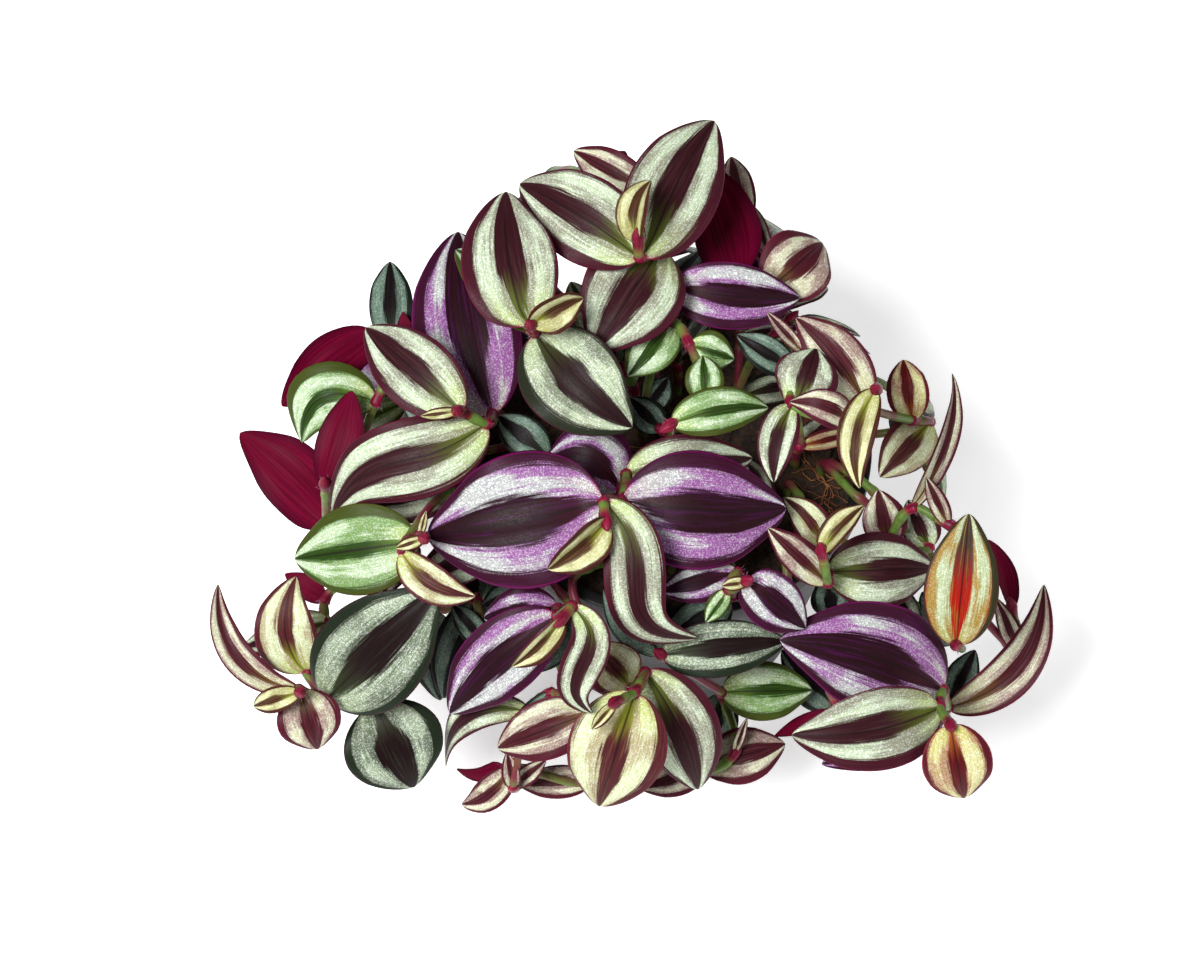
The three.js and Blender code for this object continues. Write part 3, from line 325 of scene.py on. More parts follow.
RIM_RIGHT, RIM_UP = picture(VIEW["rim_at"])
TARGET = np.array([0.0, 0.0, POT["height"]]) - RIGHT * RIM_RIGHT - UP * RIM_UP


def to_model(p):
    """View space is right, up and toward the eye; the eye's perspective is taken up here."""
    near = p[..., 2:3]
    shrink = 1 - near / VIEW["distance"]
    return TARGET + BACK * near + RIGHT * (p[..., 0:1] * shrink) + UP * (p[..., 1:2] * shrink)


def to_view(p):
    off = p - TARGET
    near = off @ BACK
    shrink = 1 - near / VIEW["distance"]
    return np.stack([(off @ RIGHT) / shrink, (off @ UP) / shrink, near], -1)


def unit(v):
    return v / np.linalg.norm(v, axis=-1, keepdims=True)


def drawer(seed):
    """The same draws each time, from 0 to 1: a 32-bit generator that mixes a counter's bits."""
    word = 0xFFFFFFFF
    state = seed & word

    def draw():
        nonlocal state
        state = (state + 0x6D2B79F5) & word
        t = ((state ^ (state >> 15)) * (1 | state)) & word
        t = ((t + (((t ^ (t >> 7)) * (61 | t)) & word)) & word) ^ t
        return (t ^ (t >> 14)) / 2**32

    return draw


def between(draw, span):
    return span[0] + (span[1] - span[0]) * draw()


# How near the eye the mound's skin lies at a place in the view
CREST_RIGHT, CREST_UP = picture(SKIN["middle"])


def skin_depth(x, y):
    out = ((x - CREST_RIGHT) / SKIN["radii"][0]) ** 2 + ((y - CREST_UP) / SKIN["radii"][1]) ** 2
    return SKIN["crest"] - SKIN["fall"] * out


def leaf_frame(root, along, left, roll, length):
    """A leaf's own frame: along from root to tip, left across it, and out of its upper face."""
    out = np.cross(along, left)
    across = left * math.cos(roll) + out * math.sin(roll)
    return {"root": root, "along": along, "across": across, "face": np.cross(along, across),
            "left": left, "length": length}


def view_frame(one, depth):
    """A foremost leaf's frame in view space, its root at the given depth."""
    x0, y0 = picture(one["root"])
    x1, y1 = picture(one["tip"])
    flat = math.hypot(x1 - x0, y1 - y0)
    slope = math.atan2(skin_depth(x1, y1) - skin_depth(x0, y0), flat)
    steepest = math.radians(SKIN["steepest"])
    tilt = min(max(slope, -steepest), steepest) + math.radians(one["tilt"])
    dx = (x1 - x0) / flat
    dy = (y1 - y0) / flat
    along = np.array([dx * math.cos(tilt), dy * math.cos(tilt), math.sin(tilt)])
    left = np.array([-dy, dx, 0.0])
    root = np.array([x0, y0, depth])
    return leaf_frame(root, along, left, math.radians(one["roll"]), flat / math.cos(tilt))


def half_width(one, t):
    """The blade's half width: round at the root, widest before the middle, drawn in to the tip."""
    full = np.abs(np.sin(np.pi * t ** OUTLINE["widest"])) ** OUTLINE["full"]
    to_tip = np.maximum(0, (t - OUTLINE["drawn_from"]) / (1 - OUTLINE["drawn_from"]))
    plain = full * (1 - OUTLINE["drawn_in"] * to_tip)
    least = BLADE["root_half"] + (BLADE["tip_half"] - BLADE["root_half"]) * t
    return np.maximum(one["width"] / 2 * plain, least)


def blade(one, at, t, s, lift=0.0, crease=0.0):
    """Points of a blade at shares t along it and s across it, off its middle surface by lift.
    The crease rounds off the fold along its midrib."""
    t = t[..., None]
    s = s[..., None]
    lift = np.asarray(lift, float)[..., None]
    length = at["length"]
    bow = 4 * t * (1 - t)
    point = at["root"] + at["along"] * (length * t)
    point = point + at["face"] * (one["arch"] * length * bow)
    cycle = 2 * math.pi
    point = point + at["left"] * (length * (one["sweep"] * bow - one["hook"] * np.sin(cycle * t)))
    lean = 4 - 8 * t
    lean_aside = one["sweep"] * lean - one["hook"] * cycle * np.cos(cycle * t)
    tangent = unit(at["along"] + at["face"] * (one["arch"] * lean) + at["left"] * lean_aside)
    turn = math.radians(one["twist"]) * t * t
    side = at["across"] * np.cos(turn) + at["face"] * np.sin(turn)
    side = unit(side - tangent * (side * tangent).sum(-1, keepdims=True))
    out = np.cross(tangent, side)
    half = half_width(one, t)
    fold = math.radians(one["fold"])
    wave = one["wave"] * np.sin(RIPPLE["turns"] * t + RIPPLE["apart"] * np.sign(s)) * s * s
    ridge = np.sqrt(s * s + crease * crease) - crease
    height = half * (ridge * math.sin(fold) - one["curl"] * s * s + wave) + lift
    return point + side * (half * s * math.cos(fold)) + out * height


SAMPLE_T, SAMPLE_S = np.meshgrid(
    np.arange(LAYER["samples_along"] + 1) / LAYER["samples_along"],
    2 * np.arange(LAYER["samples_across"] + 1) / LAYER["samples_across"] - 1, indexing="ij")
SAMPLE_T = SAMPLE_T.ravel()
SAMPLE_S = SAMPLE_S.ravel()
ROW = LAYER["samples_across"] + 1

# What has been laid so far, cell by cell of the view: how near the eye its nearest point comes
CELLS = 512
laid = np.full((CELLS, CELLS), -np.inf)
foremost = np.full((CELLS, CELLS), -np.inf)


def cells_of(x, y):
    return (np.floor(x / LAYER["cell"] + 0.5).astype(int) + CELLS // 2,
            np.floor(y / LAYER["cell"] + 0.5).astype(int) + CELLS // 2)


def lay(points):
    for i in (-1, 0, 1):
        for j in (-1, 0, 1):
            cell = cells_of(points[:, 0] + i * LAYER["cell"], points[:, 1] + j * LAYER["cell"])
            np.maximum.at(laid, cell, points[:, 2])


def on_circle(radius, turn, z):
    """The point at a turn about the upright axis, in radians."""
    return np.stack(np.broadcast_arrays(radius * np.cos(turn), radius * np.sin(turn), z), -1)


def wall_radius(z):
    """Radius of the pot's tapered wall at a height, outside."""
    taper = POT["rim_radius"] - POT["rim_proud"] - POT["base_radius"]
    return POT["base_radius"] + taper * min(z, UNDER_RIM) / UNDER_RIM


def pot_samples():
    """Points all over the pot's outside and the soil's top."""
    points = []
    for z in range(0, POT["height"] + 1, CLEAR["pot_step"]):
        r = POT["rim_radius"] if z > UNDER_RIM else wall_radius(z)
        points += [(r, turn, z) for turn in range(0, 360, CLEAR["pot_turn"])]
    for r in range(1, POT["rim_radius"] - CLEAR["soil_rim"], CLEAR["pot_step"]):
        points += [(r, turn, SOIL_TOP) for turn in range(0, 360, CLEAR["soil_turn"])]
    r, turn, z = np.array(points, float).T
    return on_circle(r, np.radians(turn), z)


def lay_leaves():
    """The foremost leaves are laid from the deepest to the nearest, each a gap nearer to the eye
    than all that it covers."""
    order = [{"shoot": shoot, "one": one} for shoot, (_, *own) in SHOOTS.items() for one in own]
    order.sort(key=lambda item: -item["one"]["deep"])
    for item in order:
        one = item["one"]
        depth = skin_depth(*picture(one["root"])) - LAYER["step"] * (one["deep"] - 1)
        points = blade(one, view_frame(one, depth), SAMPLE_T, SAMPLE_S)
        under = laid[cells_of(points[:, 0], points[:, 1])]
        rise = max(0.0, (under + LAYER["gap"] - points[:, 2]).max())
        item["frame"] = view_frame(one, depth + rise)
        points[:, 2] += rise
        item["samples"] = points
        lay(points)
    return order


# Space that is taken, as small cubes with the number of what takes them, about the origin
CUBES = 256
taken = np.zeros((CUBES, CUBES, CUBES), np.int16)
NEAR = np.array([(x, y, z) for x in (-1, 0, 1) for y in (-1, 0, 1) for z in (-1, 0, 1)])
owners = {}


def number_of(name):
    return owners.setdefault(name, len(owners) + 1)


def cubes_of(points):
    at = np.floor(points / CLEAR["voxel"] + 0.5).astype(int) + CUBES // 2
    return tuple(np.moveaxis(at, -1, 0))


def take(points, name):
    taken[cubes_of(points)] = number_of(name)


def is_taken(points, name=None):
    """Which of the points come within about a cube of what others have taken."""
    found = taken[cubes_of(points[:, None] + NEAR * CLEAR["voxel"])]
    others = found != 0
    if name is not None:
        others &= found != number_of(name)
    return others.any(1)


# A curve's length is added up from so many parts, its direction is taken over a short share of it,
# and points nearer than a share of a millimetre are one corner
CURVE = {"parts": 200, "share": 1e-4, "same_corner": 1e-4}


class Curve:
    """A smooth line through points, with its rows evenly spaced where asked for."""

    def __init__(self, points):
        p = np.array(points, float)
        self.spans = len(p) - 1
        self.all = np.vstack([2 * p[0] - p[1], p, 2 * p[-1] - p[-2]])
        self.shares = np.linspace(0, 1, CURVE["parts"] + 1)
        line = self.at(self.shares)
        self.lengths = np.r_[0, np.cumsum(np.linalg.norm(np.diff(line, axis=0), axis=1))]
        self.length = self.lengths[-1]

    def at(self, u):
        place = self.spans * np.atleast_1d(np.asarray(u, float))
        i = np.minimum(np.floor(place).astype(int), self.spans - 1)
        w = (place - i)[:, None]
        p0, p1, p2, p3 = (self.all[i + k] for k in range(4))
        d0, d1, d2 = (np.sqrt(np.linalg.norm(b - a, axis=1, keepdims=True))
                      for a, b in ((p0, p1), (p1, p2), (p2, p3)))
        d1 = np.where(d1 < CURVE["same_corner"], 1.0, d1)
        d0 = np.where(d0 < CURVE["same_corner"], d1, d0)
        d2 = np.where(d2 < CURVE["same_corner"], d1, d2)
        m1 = ((p1 - p0) / d0 - (p2 - p0) / (d0 + d1) + (p2 - p1) / d1) * d1
        m2 = ((p2 - p1) / d1 - (p3 - p1) / (d1 + d2) + (p3 - p2) / d2) * d1
        return (p1 + m1 * w + (3 * (p2 - p1) - 2 * m1 - m2) * w**2
                + (2 * (p1 - p2) + m1 + m2) * w**3)

    def tangent(self, u):
        u = np.atleast_1d(np.asarray(u, float))
        far = CURVE["share"]
        return unit(self.at(np.minimum(u + far, 1)) - self.at(np.maximum(u - far, 0)))

    def spaced(self, step):
        count = math.ceil(self.length / step)
        target = self.length * np.arange(count + 1) / count
        return self.at(np.interp(target, self.lengths, self.shares))


def take_stem(curve, name):
    """A stem takes its thickness all round its curve."""
    line = curve.spaced(CLEAR["step"])
    take(line, name)
    for axis in np.eye(3):
        take(line - axis * STEM["radius"], name)
        take(line + axis * STEM["radius"], name)


def in_hole(hole):
    """Where a stem stands over its hole, passes into the soil and ends."""
    return [np.array([*hole, SOIL_TOP + up]) for up in (STEM["rise"], -STEM["neck"], -STEM["seat"])]


def way_middle(last, mouth, outside, lift, lean):
    """Where a stem passes between its last leaf and its hole."""
    if outside:
        turn = math.atan2(last[1], last[0]) + math.radians(lean)
        height = POT["height"] + WAYS["over_rim"] + lift
        return on_circle(POT["rim_radius"] - WAYS["inside_rim"], turn, height)
    away = np.array([last[1] - mouth[1], mouth[0] - last[0], 0])
    middle = (last + mouth) / 2 + away * (math.tan(math.radians(lean)) / 2)
    middle[:2] += lift * (mouth[:2] - middle[:2]) / WAYS["drawn_by"]
    return middle


def stem_way(name, hole, roots):
    """A stem's way from its last leaf to its hole: over the rim where the leaf hangs outside the
    pot. The first way that touches nothing is taken, or else the one that touches least."""
    last = roots[-1]
    mouth, neck, seat = in_hole(hole)
    is_far_out = math.hypot(last[0], last[1]) > POT["rim_radius"] - WAYS["outside_from"]
    outside = is_far_out and last[2] < POT["height"] + WAYS["outside_below"]
    best = (math.inf, None)
    for lift in WAYS["lifts"]:
        for lean in WAYS["leans"]:
            middle = way_middle(last, mouth, outside, lift, lean)
            way = Curve([last, middle, mouth, neck]).spaced(CLEAR["step"])[slice(*WAYS["ends"])]
            count = int(is_taken(way, name).sum())
            if count < best[0]:
                best = (count, middle)
            if count == 0:
                break
    return [*roots, best[1], mouth, neck, seat]


def stem_nodes(own):
    """A stem's nodes, from its tip down: leaves whose roots are close share one, and each next
    node is the one nearest to the last."""
    nodes = []
    for item in own:
        root = to_model(item["frame"]["root"])
        near = [n for n in nodes if np.linalg.norm(n - root) < STEM["node_size"]]
        item["node"] = near[0] if near else root
        if not near:
            nodes.append(root)
    chain = [nodes.pop(0)]
    while nodes:
        nodes.sort(key=lambda n: np.linalg.norm(n - chain[-1]))
        chain.append(nodes.pop(0))
    return chain


def stem_rows(points):
    """A stem's rows: it passes through each of its points, with more rows in between and a short
    tip past the first."""
    curve = Curve(points)
    last = len(points) - 1
    places = []
    for i in range(last):
        far = np.linalg.norm(points[i] - points[i + 1])
        steps = max(1, math.floor(far / STEM["step_length"] + 0.5))
        places += [(i + k / steps) / last for k in range(steps)]
    places.append(1)
    line = curve.at(places)
    tangents = curve.tangent(places)
    line = np.vstack([line[0] - tangents[0] * STEM["tip"], line])
    return line, np.vstack([tangents[0], tangents])


def length_of(points):
    return sum(np.linalg.norm(b - a) for a, b in zip(points, points[1:]))


def hidden_stem(draw, rule, turn, hole):
    """A hanging stem rises from its hole, arches out over the rim and hangs; an inner one only
    rises."""
    reach = between(draw, rule["reach"])
    rise = between(draw, rule["rise"])
    swing = math.radians(STRAY["end"]) * (2 * draw() - 1)
    if rule["end_height"]:
        end = between(draw, rule["end_height"])
        far, far_swing = ARCH["shoulder"]
        near, near_swing = ARCH["crest"]
        points = [on_circle(reach, turn + swing, end),
                  on_circle(reach * far, turn + swing * far_swing, (end + SOIL_TOP + rise) / 2),
                  on_circle(reach * near, turn + swing * near_swing, SOIL_TOP + rise)]
    else:
        tip = on_circle(reach, turn + swing, SOIL_TOP + rise)
        foot = np.array([*hole, SOIL_TOP + rise * ARCH["inner_rise"]])
        points = [tip, foot + (tip - foot) * ARCH["inner_reach"]]
    return points + in_hole(hole)


def ruled_frame(draw, at, tangent, sideways, length):
    """The frame of a leaf that is laid by rule: it leans from its stem to one side, outward and
    down."""
    outward = unit(np.array([at[0], at[1], 0.0]))
    round_pot = np.array([-outward[1], outward[0], 0.0])
    along = tangent * between(draw, STANCE["along"])
    along = along + round_pot * (sideways * between(draw, STANCE["around"]))
    along = along + outward * between(draw, STANCE["outward"])
    along[2] += between(draw, STANCE["up"])
    along = unit(along)
    sky = np.array([0.0, 0.0, 1.0]) + outward * between(draw, STANCE["lean"])
    left = unit(np.cross(sky, along))
    return leaf_frame(at, along, left, math.radians(between(draw, STANCE["roll"])), length)


def among_foremost():
    """Which cells of the view lie among the foremost leaves: there is one of them each way."""
    is_leaf = foremost > -np.inf
    among = np.ones_like(is_leaf)
    for x, y in ((1, 0), (-1, 0), (0, 1), (0, -1), (1, 1), (-1, -1), (1, -1), (-1, 1)):
        found = np.zeros_like(is_leaf)
        for i in range(1, GAP_CELLS + 1):
            found |= np.roll(is_leaf, (-x * i, -y * i), (0, 1))
        among &= found
    return among


def shown_share(points, among):
    """The share of the points that would come before the foremost leaves or stick out past
    them."""
    seen = to_view(points)
    cell = cells_of(seen[:, 0], seen[:, 1])
    over = foremost[cell]
    free = over == -np.inf
    return np.where(free, ~among[cell], over < seen[:, 2] + LAYER["gap"]).mean()


def free_hole(holes, rule, turn, draw):
    for _ in range(HOLE_TRIES):
        r = between(draw, rule["holes"])
        angle = turn + math.radians(STRAY["hole"]) * (2 * draw() - 1)
        hole = (r * math.cos(angle), r * math.sin(angle))
        if all(math.dist(other, hole) > HOLE_APART for other in holes):
            return hole
    return None


def ruled_leaves(draw, rule, name, rows, among):
    """Leaves laid by rule along a stem, to one side and the other: each is the first drawn one
    that touches nothing and stays behind the foremost leaves."""
    line, tangents = rows
    found = []
    for i in range(rule["leaves"]):
        place = rule["from"] + (rule["to"] - rule["from"]) * i / rule["leaves"]
        row = math.floor(place * (len(line) - 1))
        at = line[row] + (line[row + 1] - line[row]) * RULED["between"][i % 2]
        for k in range(rule["tries"]):
            length = between(draw, rule["size"]) * (1 - SHORTER * k / rule["tries"])
            bend = {key: between(draw, RULED[key]) for key in ("arch", "fold", "sweep")}
            tone = TONES[math.floor(draw() * len(TONES))]
            one = leaf(tone, None, None, length * LEAF_RATIO, 0, **bend)
            at_leaf = ruled_frame(draw, at, -tangents[row], 1 if (i + k) % 2 else -1, length)
            samples = blade(one, at_leaf, SAMPLE_T, SAMPLE_S)
            if (samples[:, 2] < CLEAR["floor"]).any():
                continue
            if shown_share(samples, among) > MOST_SHOWN:
                continue
            if is_taken(samples[FREE_ROWS["others"] * ROW:], name).any():
                continue
            if is_taken(samples[FREE_ROWS["own"] * ROW:]).any():
                continue
            found.append({"one": one, "frame": at_leaf, "samples": samples, "node": at})
            break
    return found


def hidden_shoot(rule, name, index, holes, among):
    """The first drawn stem of which the way is free and that bears leaves enough."""
    for attempt in range(STEM_TRIES):
        draw = drawer(rule["seed"] * (index + 1) + attempt)
        turn = math.radians(rule["turns"][index] + STRAY["heading"] * (2 * draw() - 1))
        hole = free_hole(holes, rule, turn, draw)
        if not hole:
            continue
        points = hidden_stem(draw, rule, turn, hole)
        curve = Curve(points)
        way = curve.spaced(CLEAR["step"])
        far = np.hypot(way[:, 0], way[:, 1]) > POT["rim_radius"] - STEM["seat"]
        way = way[far | (way[:, 2] > SOIL["level"] + STEM["rise"])]
        if is_taken(way, name).any() or shown_share(way, among) > MOST_SHOWN:
            continue
        leaves = ruled_leaves(draw, rule, name, stem_rows(points), among)
        if len(leaves) >= rule["enough"]:
            return {"name": name, "hole": hole, "points": points, "passed": 0, "leaves": leaves}
    return None


def lay_more(shoot, rule, seed, among):
    """Adds leaves laid by a rule to a shoot, along the part of its stem below its foremost ones."""
    passed = shoot["passed"]
    ends = {key: passed + rule[key] * (1 - passed) for key in ("from", "to")}
    rows = stem_rows(shoot["points"])
    more = ruled_leaves(drawer(seed), {**rule, **ends}, shoot["name"], rows, among)
    for item in more:
        take(item["samples"], shoot["name"])
    shoot["leaves"] = shoot["leaves"] + more
    return more


def grow_plant():
    """All leafy stems with their leaves, by the same order of steps as the solids. The small young
    leaves come last."""
    pot = pot_samples()
    lay(to_view(pot))
    take(pot, "pot")
    leaves = lay_leaves()
    for item in leaves:
        cell = cells_of(item["samples"][:, 0], item["samples"][:, 1])
        np.maximum.at(foremost, cell, item["samples"][:, 2])
    for item in leaves:
        take(to_model(item["samples"]), BASES[item["shoot"]])
    among = among_foremost()
    shoots = []
    for name, (hole, *_) in SHOOTS.items():
        own = [item for item in leaves if item["shoot"] == name]
        own.sort(key=lambda item: -item["frame"]["root"][2])
        roots = stem_nodes(own)
        points = stem_way(BASES[name], hole, roots)
        take_stem(Curve(points), BASES[name])
        passed = length_of(roots) / length_of(points)
        shoots.append({"name": BASES[name], "points": points, "passed": passed, "leaves": own})
    hidden = []
    holes = [hole for name, (hole, *_) in SHOOTS.items() if BASES[name] == name]
    for kind, rule in (("hanging", HANGING), ("inner", INNER)):
        for i in range(len(rule["turns"])):
            shoot = hidden_shoot(rule, f"{kind}_{i + 1:02d}", i, holes, among)
            if not shoot:
                continue
            holes.append(shoot["hole"])
            take_stem(Curve(shoot["points"]), shoot["name"])
            for item in shoot["leaves"]:
                take(item["samples"], shoot["name"])
            hidden.append(shoot)
    for i, shoot in enumerate(shoots):
        lay_more(shoot, LOWER, i + 1, among)
    for i, shoot in enumerate(shoots + hidden):
        for item in lay_more(shoot, SMALL, SMALL["seed"] + i, among):
            item["one"]["tone"] = "young"
            item["one"]["fold"] += SMALL["fold"]
    return shoots + hidden


class Build:
    """Vertices, faces, materials and leaf places of one piece, gathered before its mesh is made."""

    def __init__(self):
        self.points = []
        self.faces = []
        self.slots = []
        self.places = []
        self.count = 0

    def add(self, points, faces, slots=0, places=(0.0, 0.0, 0.0)):
        """Adds a closed body. Slots is a list with one for each face or one for all, and places are
        those of each point or one for all."""
        self.faces += [tuple(i + self.count for i in face) for face in faces]
        self.slots += slots if isinstance(slots, list) else [slots] * len(faces)
        self.points.append(points)
        self.places.append(np.broadcast_to(places, np.shape(points)))
        self.count += len(points)

    def mesh(self, name, materials):
        mesh = bpy.data.meshes.new(name)
        points = np.vstack(self.points) * MM
        mesh.from_pydata(points.tolist(), [], self.faces)
        for material in materials:
            mesh.materials.append(material)
        mesh.polygons.foreach_set("material_index", self.slots)
        mesh.polygons.foreach_set("use_smooth", [True] * len(self.faces))
        at = mesh.attributes.new("leaf_place", "FLOAT_VECTOR", "POINT")
        at.data.foreach_set("vector", np.vstack(self.places).astype(np.float32).ravel())
        mesh.update()
        piece = bpy.data.objects.new(name, mesh)
        bpy.context.scene.collection.objects.link(piece)
        return piece


def tube_faces(rows, count):
    """Quads between a tube's rings of so many points, ring by ring, and a face over each end."""
    faces = []
    for i in range(0, (rows - 1) * count, count):
        for j in range(count):
            k = (j + 1) % count
            faces.append((i + j, i + k, i + count + k, i + count + j))
    first = tuple(range(count))[::-1]
    last = tuple(range((rows - 1) * count, rows * count))
    return [*faces, first, last]


# A blade's mesh: millimetres from row to row and from column to column, with the fewest and most
# of them, how far the rows gather at its ends and the columns at its margins, how thick it is, how
# it thins at its tip, how round its midrib's crease is, and how its root is drawn to the stem
MESH = {"row": 1.5, "rows": (14, 34), "column": 1.8, "columns": (5, 12), "ends": 0.55,
        "margins": 0.86, "thick": 0.26, "tip_from": 0.97, "tip_thick": 0.6, "crease": 0.07,
        "drawn_to": 0.16, "drawn": 1.6}

# The margin's ripples, different on each leaf, and the swelling between veins, as shares of the
# blade's width
RIPPLED = {"high": 0.02, "turns": (9, 14), "apart": (0.5, 2), "start": (0, 6), "margin": 3,
           "swell": 0.014, "veins": 2, "full": 0.7}


def wave_of(t, s, one, rng):
    """How the margin ripples and the blade swells between its veins."""
    turns, apart, start = (rng.uniform(*RIPPLED[key]) for key in ("turns", "apart", "start"))
    ripple = RIPPLED["high"] * one["width"] * np.sin(t * turns + np.sign(s) * apart + start)
    swell = RIPPLED["swell"] * one["width"] * np.cos(s * 2 * np.pi * RIPPLED["veins"])
    body = np.sin(np.pi * t) ** RIPPLED["full"]
    return (ripple * np.abs(s) ** RIPPLED["margin"] + swell * (1 - np.abs(s))) * body


def add_leaf(build, item, seed, skins):
    """A thin closed blade: an upper and a lower face that meet in its margin."""
    one, at = item["one"], item["frame"]
    rng = np.random.default_rng(seed)
    rows = int(np.clip(at["length"] / MESH["row"], *MESH["rows"]))
    half = int(np.clip(one["width"] / MESH["column"], *MESH["columns"]))
    gathered = (1 - np.cos(np.linspace(0, np.pi, rows))) / 2
    t = gathered * MESH["ends"] + np.linspace(0, 1, rows) * (1 - MESH["ends"])
    s = np.sin(np.linspace(-np.pi / 2, np.pi / 2, 2 * half + 1) * MESH["margins"])
    s /= s[-1]
    s = np.r_[s, s[-2:0:-1]]
    count = len(s)
    face = np.r_[np.ones(2 * half + 1), -np.ones(2 * half - 1)]
    t, s = (grid.ravel() for grid in np.meshgrid(t, s, indexing="ij"))
    thick = MESH["thick"] * np.sqrt(np.maximum(0, 1 - s**2))
    thick *= np.where(t > MESH["tip_from"], MESH["tip_thick"], 1)
    lift = np.tile(face, rows) * thick + wave_of(t, s, one, rng)
    points = blade(one, at, t, s, lift, MESH["crease"])
    root = at["root"]
    if "shoot" in item:
        points = to_model(points)
        root = to_model(root)
    drawn = np.clip(1 - t / MESH["drawn_to"], 0, 1) ** MESH["drawn"]
    points = points + drawn[:, None] * (item["node"] - root)
    upper, lower = skins
    slots = ([upper] * 2 * half + [lower] * (count - 2 * half)) * (rows - 1) + [upper] * 2
    places = np.stack([s, t, np.full(len(s), rng.random())], -1)
    build.add(points, tube_faces(rows, count), slots, places)


def add_tube(build, line, radii, count, slot, seed):
    """A round tube along a line."""
    tangent = unit(np.gradient(line, axis=0))
    aside = np.array([tangent[0][1], tangent[0][2], tangent[0][0]]) + 0.01
    turn = np.linspace(0, 2 * np.pi, count, endpoint=False)[:, None]
    points = []
    for p, d, r in zip(line, tangent, radii):
        aside = unit(aside - d * (aside @ d))
        points.append(p + r * (np.cos(turn) * aside + np.sin(turn) * np.cross(d, aside)))
    rows = len(line)
    along = np.repeat(np.linspace(0, 1, rows), count)
    across = np.tile(np.linspace(-1, 1, count), rows)
    places = np.stack([across, along, np.full(len(along), seed)], -1)
    build.add(np.vstack(points), tube_faces(rows, count), slot, places)


# The round stem, in millimetres: it swells at its joints, which it also has where it bears no
# leaves, and thins toward its tip
STALK = {"radius": 1.45, "swell": 0.5, "swell_half": 1.6, "count": 12, "spacing": 1.6,
         "joint_apart": 2.5, "joint_every": (17, 25), "joint_end": 22, "tip": 0.62, "taper": 30,
         "point": 0.45}
SHEATH = {"length": 5.5, "stretch": (0.8, 1.15), "before": 0.8, "end": 1, "rows": 7, "radius": 1.8,
          "flare": 0.3, "narrows": 0.35, "count": 14}
# Past a sheath's mouth: millimetres along the stem and shares of the mouth's radius. The last
# sheath of a stem closes to a bud over its tip, and the others to a lip.
BUD = ((4.2, 3.4, 2.2, 1.0), (0.05, 0.36, 0.7, 0.94))
LIP = ((1.1, 0.8), (0.3, 0.75))
BUD_WITHIN = 1
# A hair, with the least and most shares of its direction along the stem and out from it, and of its
# length
HAIR = {"count": 14, "length": 1.9, "radius": 0.065, "sunk": 0.1, "along": (0.3, 1),
        "out": (0.4, 1), "longer": (0.6, 1.2)}
TRIANGLE = ((1, 0), (-0.5, 0.87), (-0.5, -0.87))
# Directions that no stem and no hair runs along
ASKEW = ((0.31, 0.47, 0.83), (0.2, 0.9, 0.4))


def add_stem(build, shoot, seed, stalk, sheath, hair):
    """The round stem from its tip down to its seat in the soil, with a sheath under each leaf."""
    rng = np.random.default_rng(seed)
    curve = Curve(shoot["points"])
    first = curve.at(0)[0] - curve.tangent(0)[0] * STEM["tip"]
    line = np.vstack([first, curve.spaced(STALK["spacing"])])
    far = np.r_[0, np.cumsum(np.linalg.norm(np.diff(line, axis=0), axis=1))]
    nodes = []
    for item in shoot["leaves"]:
        near = np.linalg.norm(line - item["node"], axis=1).argmin()
        if all(abs(far[near] - far[n]) > STALK["joint_apart"] for n in nodes):
            nodes.append(near)
    joints = list(nodes)
    last = far[max(joints)]
    while last + STALK["joint_end"] < far[-1]:
        last += rng.uniform(*STALK["joint_every"])
        joints.append(int(np.abs(far - last).argmin()))
    radii = STALK["radius"] * np.clip(STALK["tip"] + far / STALK["taper"], 0, 1)
    for n in joints:
        off = (far - far[n] - SHEATH["length"]) / STALK["swell_half"]
        radii += STALK["swell"] * np.exp(-(off**2))
    radii[0] *= STALK["point"]
    add_tube(build, line, radii, STALK["count"], stalk, rng.random())
    share = np.linspace(0, 1, SHEATH["rows"])
    for n in nodes:
        start = max(far[n] - SHEATH["before"], 0)
        stop = far[n] + SHEATH["length"] * rng.uniform(*SHEATH["stretch"])
        places = np.linspace(start, min(stop, far[-1] - SHEATH["end"]), SHEATH["rows"])
        tube = np.stack([np.interp(places, far, line[:, k]) for k in range(3)], -1)
        width = SHEATH["radius"] + SHEATH["flare"] * (1 - share) ** 2 - SHEATH["narrows"] * share
        mouth = unit(tube[0] - tube[1])
        past, narrow = BUD if far[n] < STEM["tip"] + BUD_WITHIN else LIP
        closed = np.vstack([tube[0] + np.outer(past, mouth), tube])
        radii = np.r_[width[0] * np.array(narrow), width]
        add_tube(build, closed, radii, SHEATH["count"], sheath, rng.random())
        add_hairs(build, tube[0], mouth, width[0], rng, hair)


def add_hairs(build, middle, direction, radius, rng, slot):
    """Fine three-sided hairs round a sheath's mouth."""
    aside = unit(np.cross(direction, ASKEW[0]))
    other = np.cross(direction, aside)
    for _ in range(HAIR["count"]):
        turn = rng.uniform(0, 2 * math.pi)
        out = math.cos(turn) * aside + math.sin(turn) * other
        start = middle + out * (radius - HAIR["sunk"])
        way = unit(direction * rng.uniform(*HAIR["along"]) + out * rng.uniform(*HAIR["out"]))
        end = start + way * HAIR["length"] * rng.uniform(*HAIR["longer"])
        side = unit(np.cross(way, ASKEW[1])) * HAIR["radius"]
        up = np.cross(way, side)
        corners = [start + side * x + up * y for x, y in TRIANGLE]
        build.add(np.vstack([*corners, end]), [(0, 1, 3), (1, 2, 3), (2, 0, 3), (2, 1, 0)], slot,
                  (0.0, 0.5, 0.5))


def colour(text):
    """A colour from its hexadecimal sRGB text, as the shader's own linear numbers."""
    parts = [int(text[i:i + 2], 16) / 255 for i in (1, 3, 5)]
    return tuple(c / 12.92 if c <= 0.04045 else ((c + 0.055) / 1.055) ** 2.4 for c in parts)


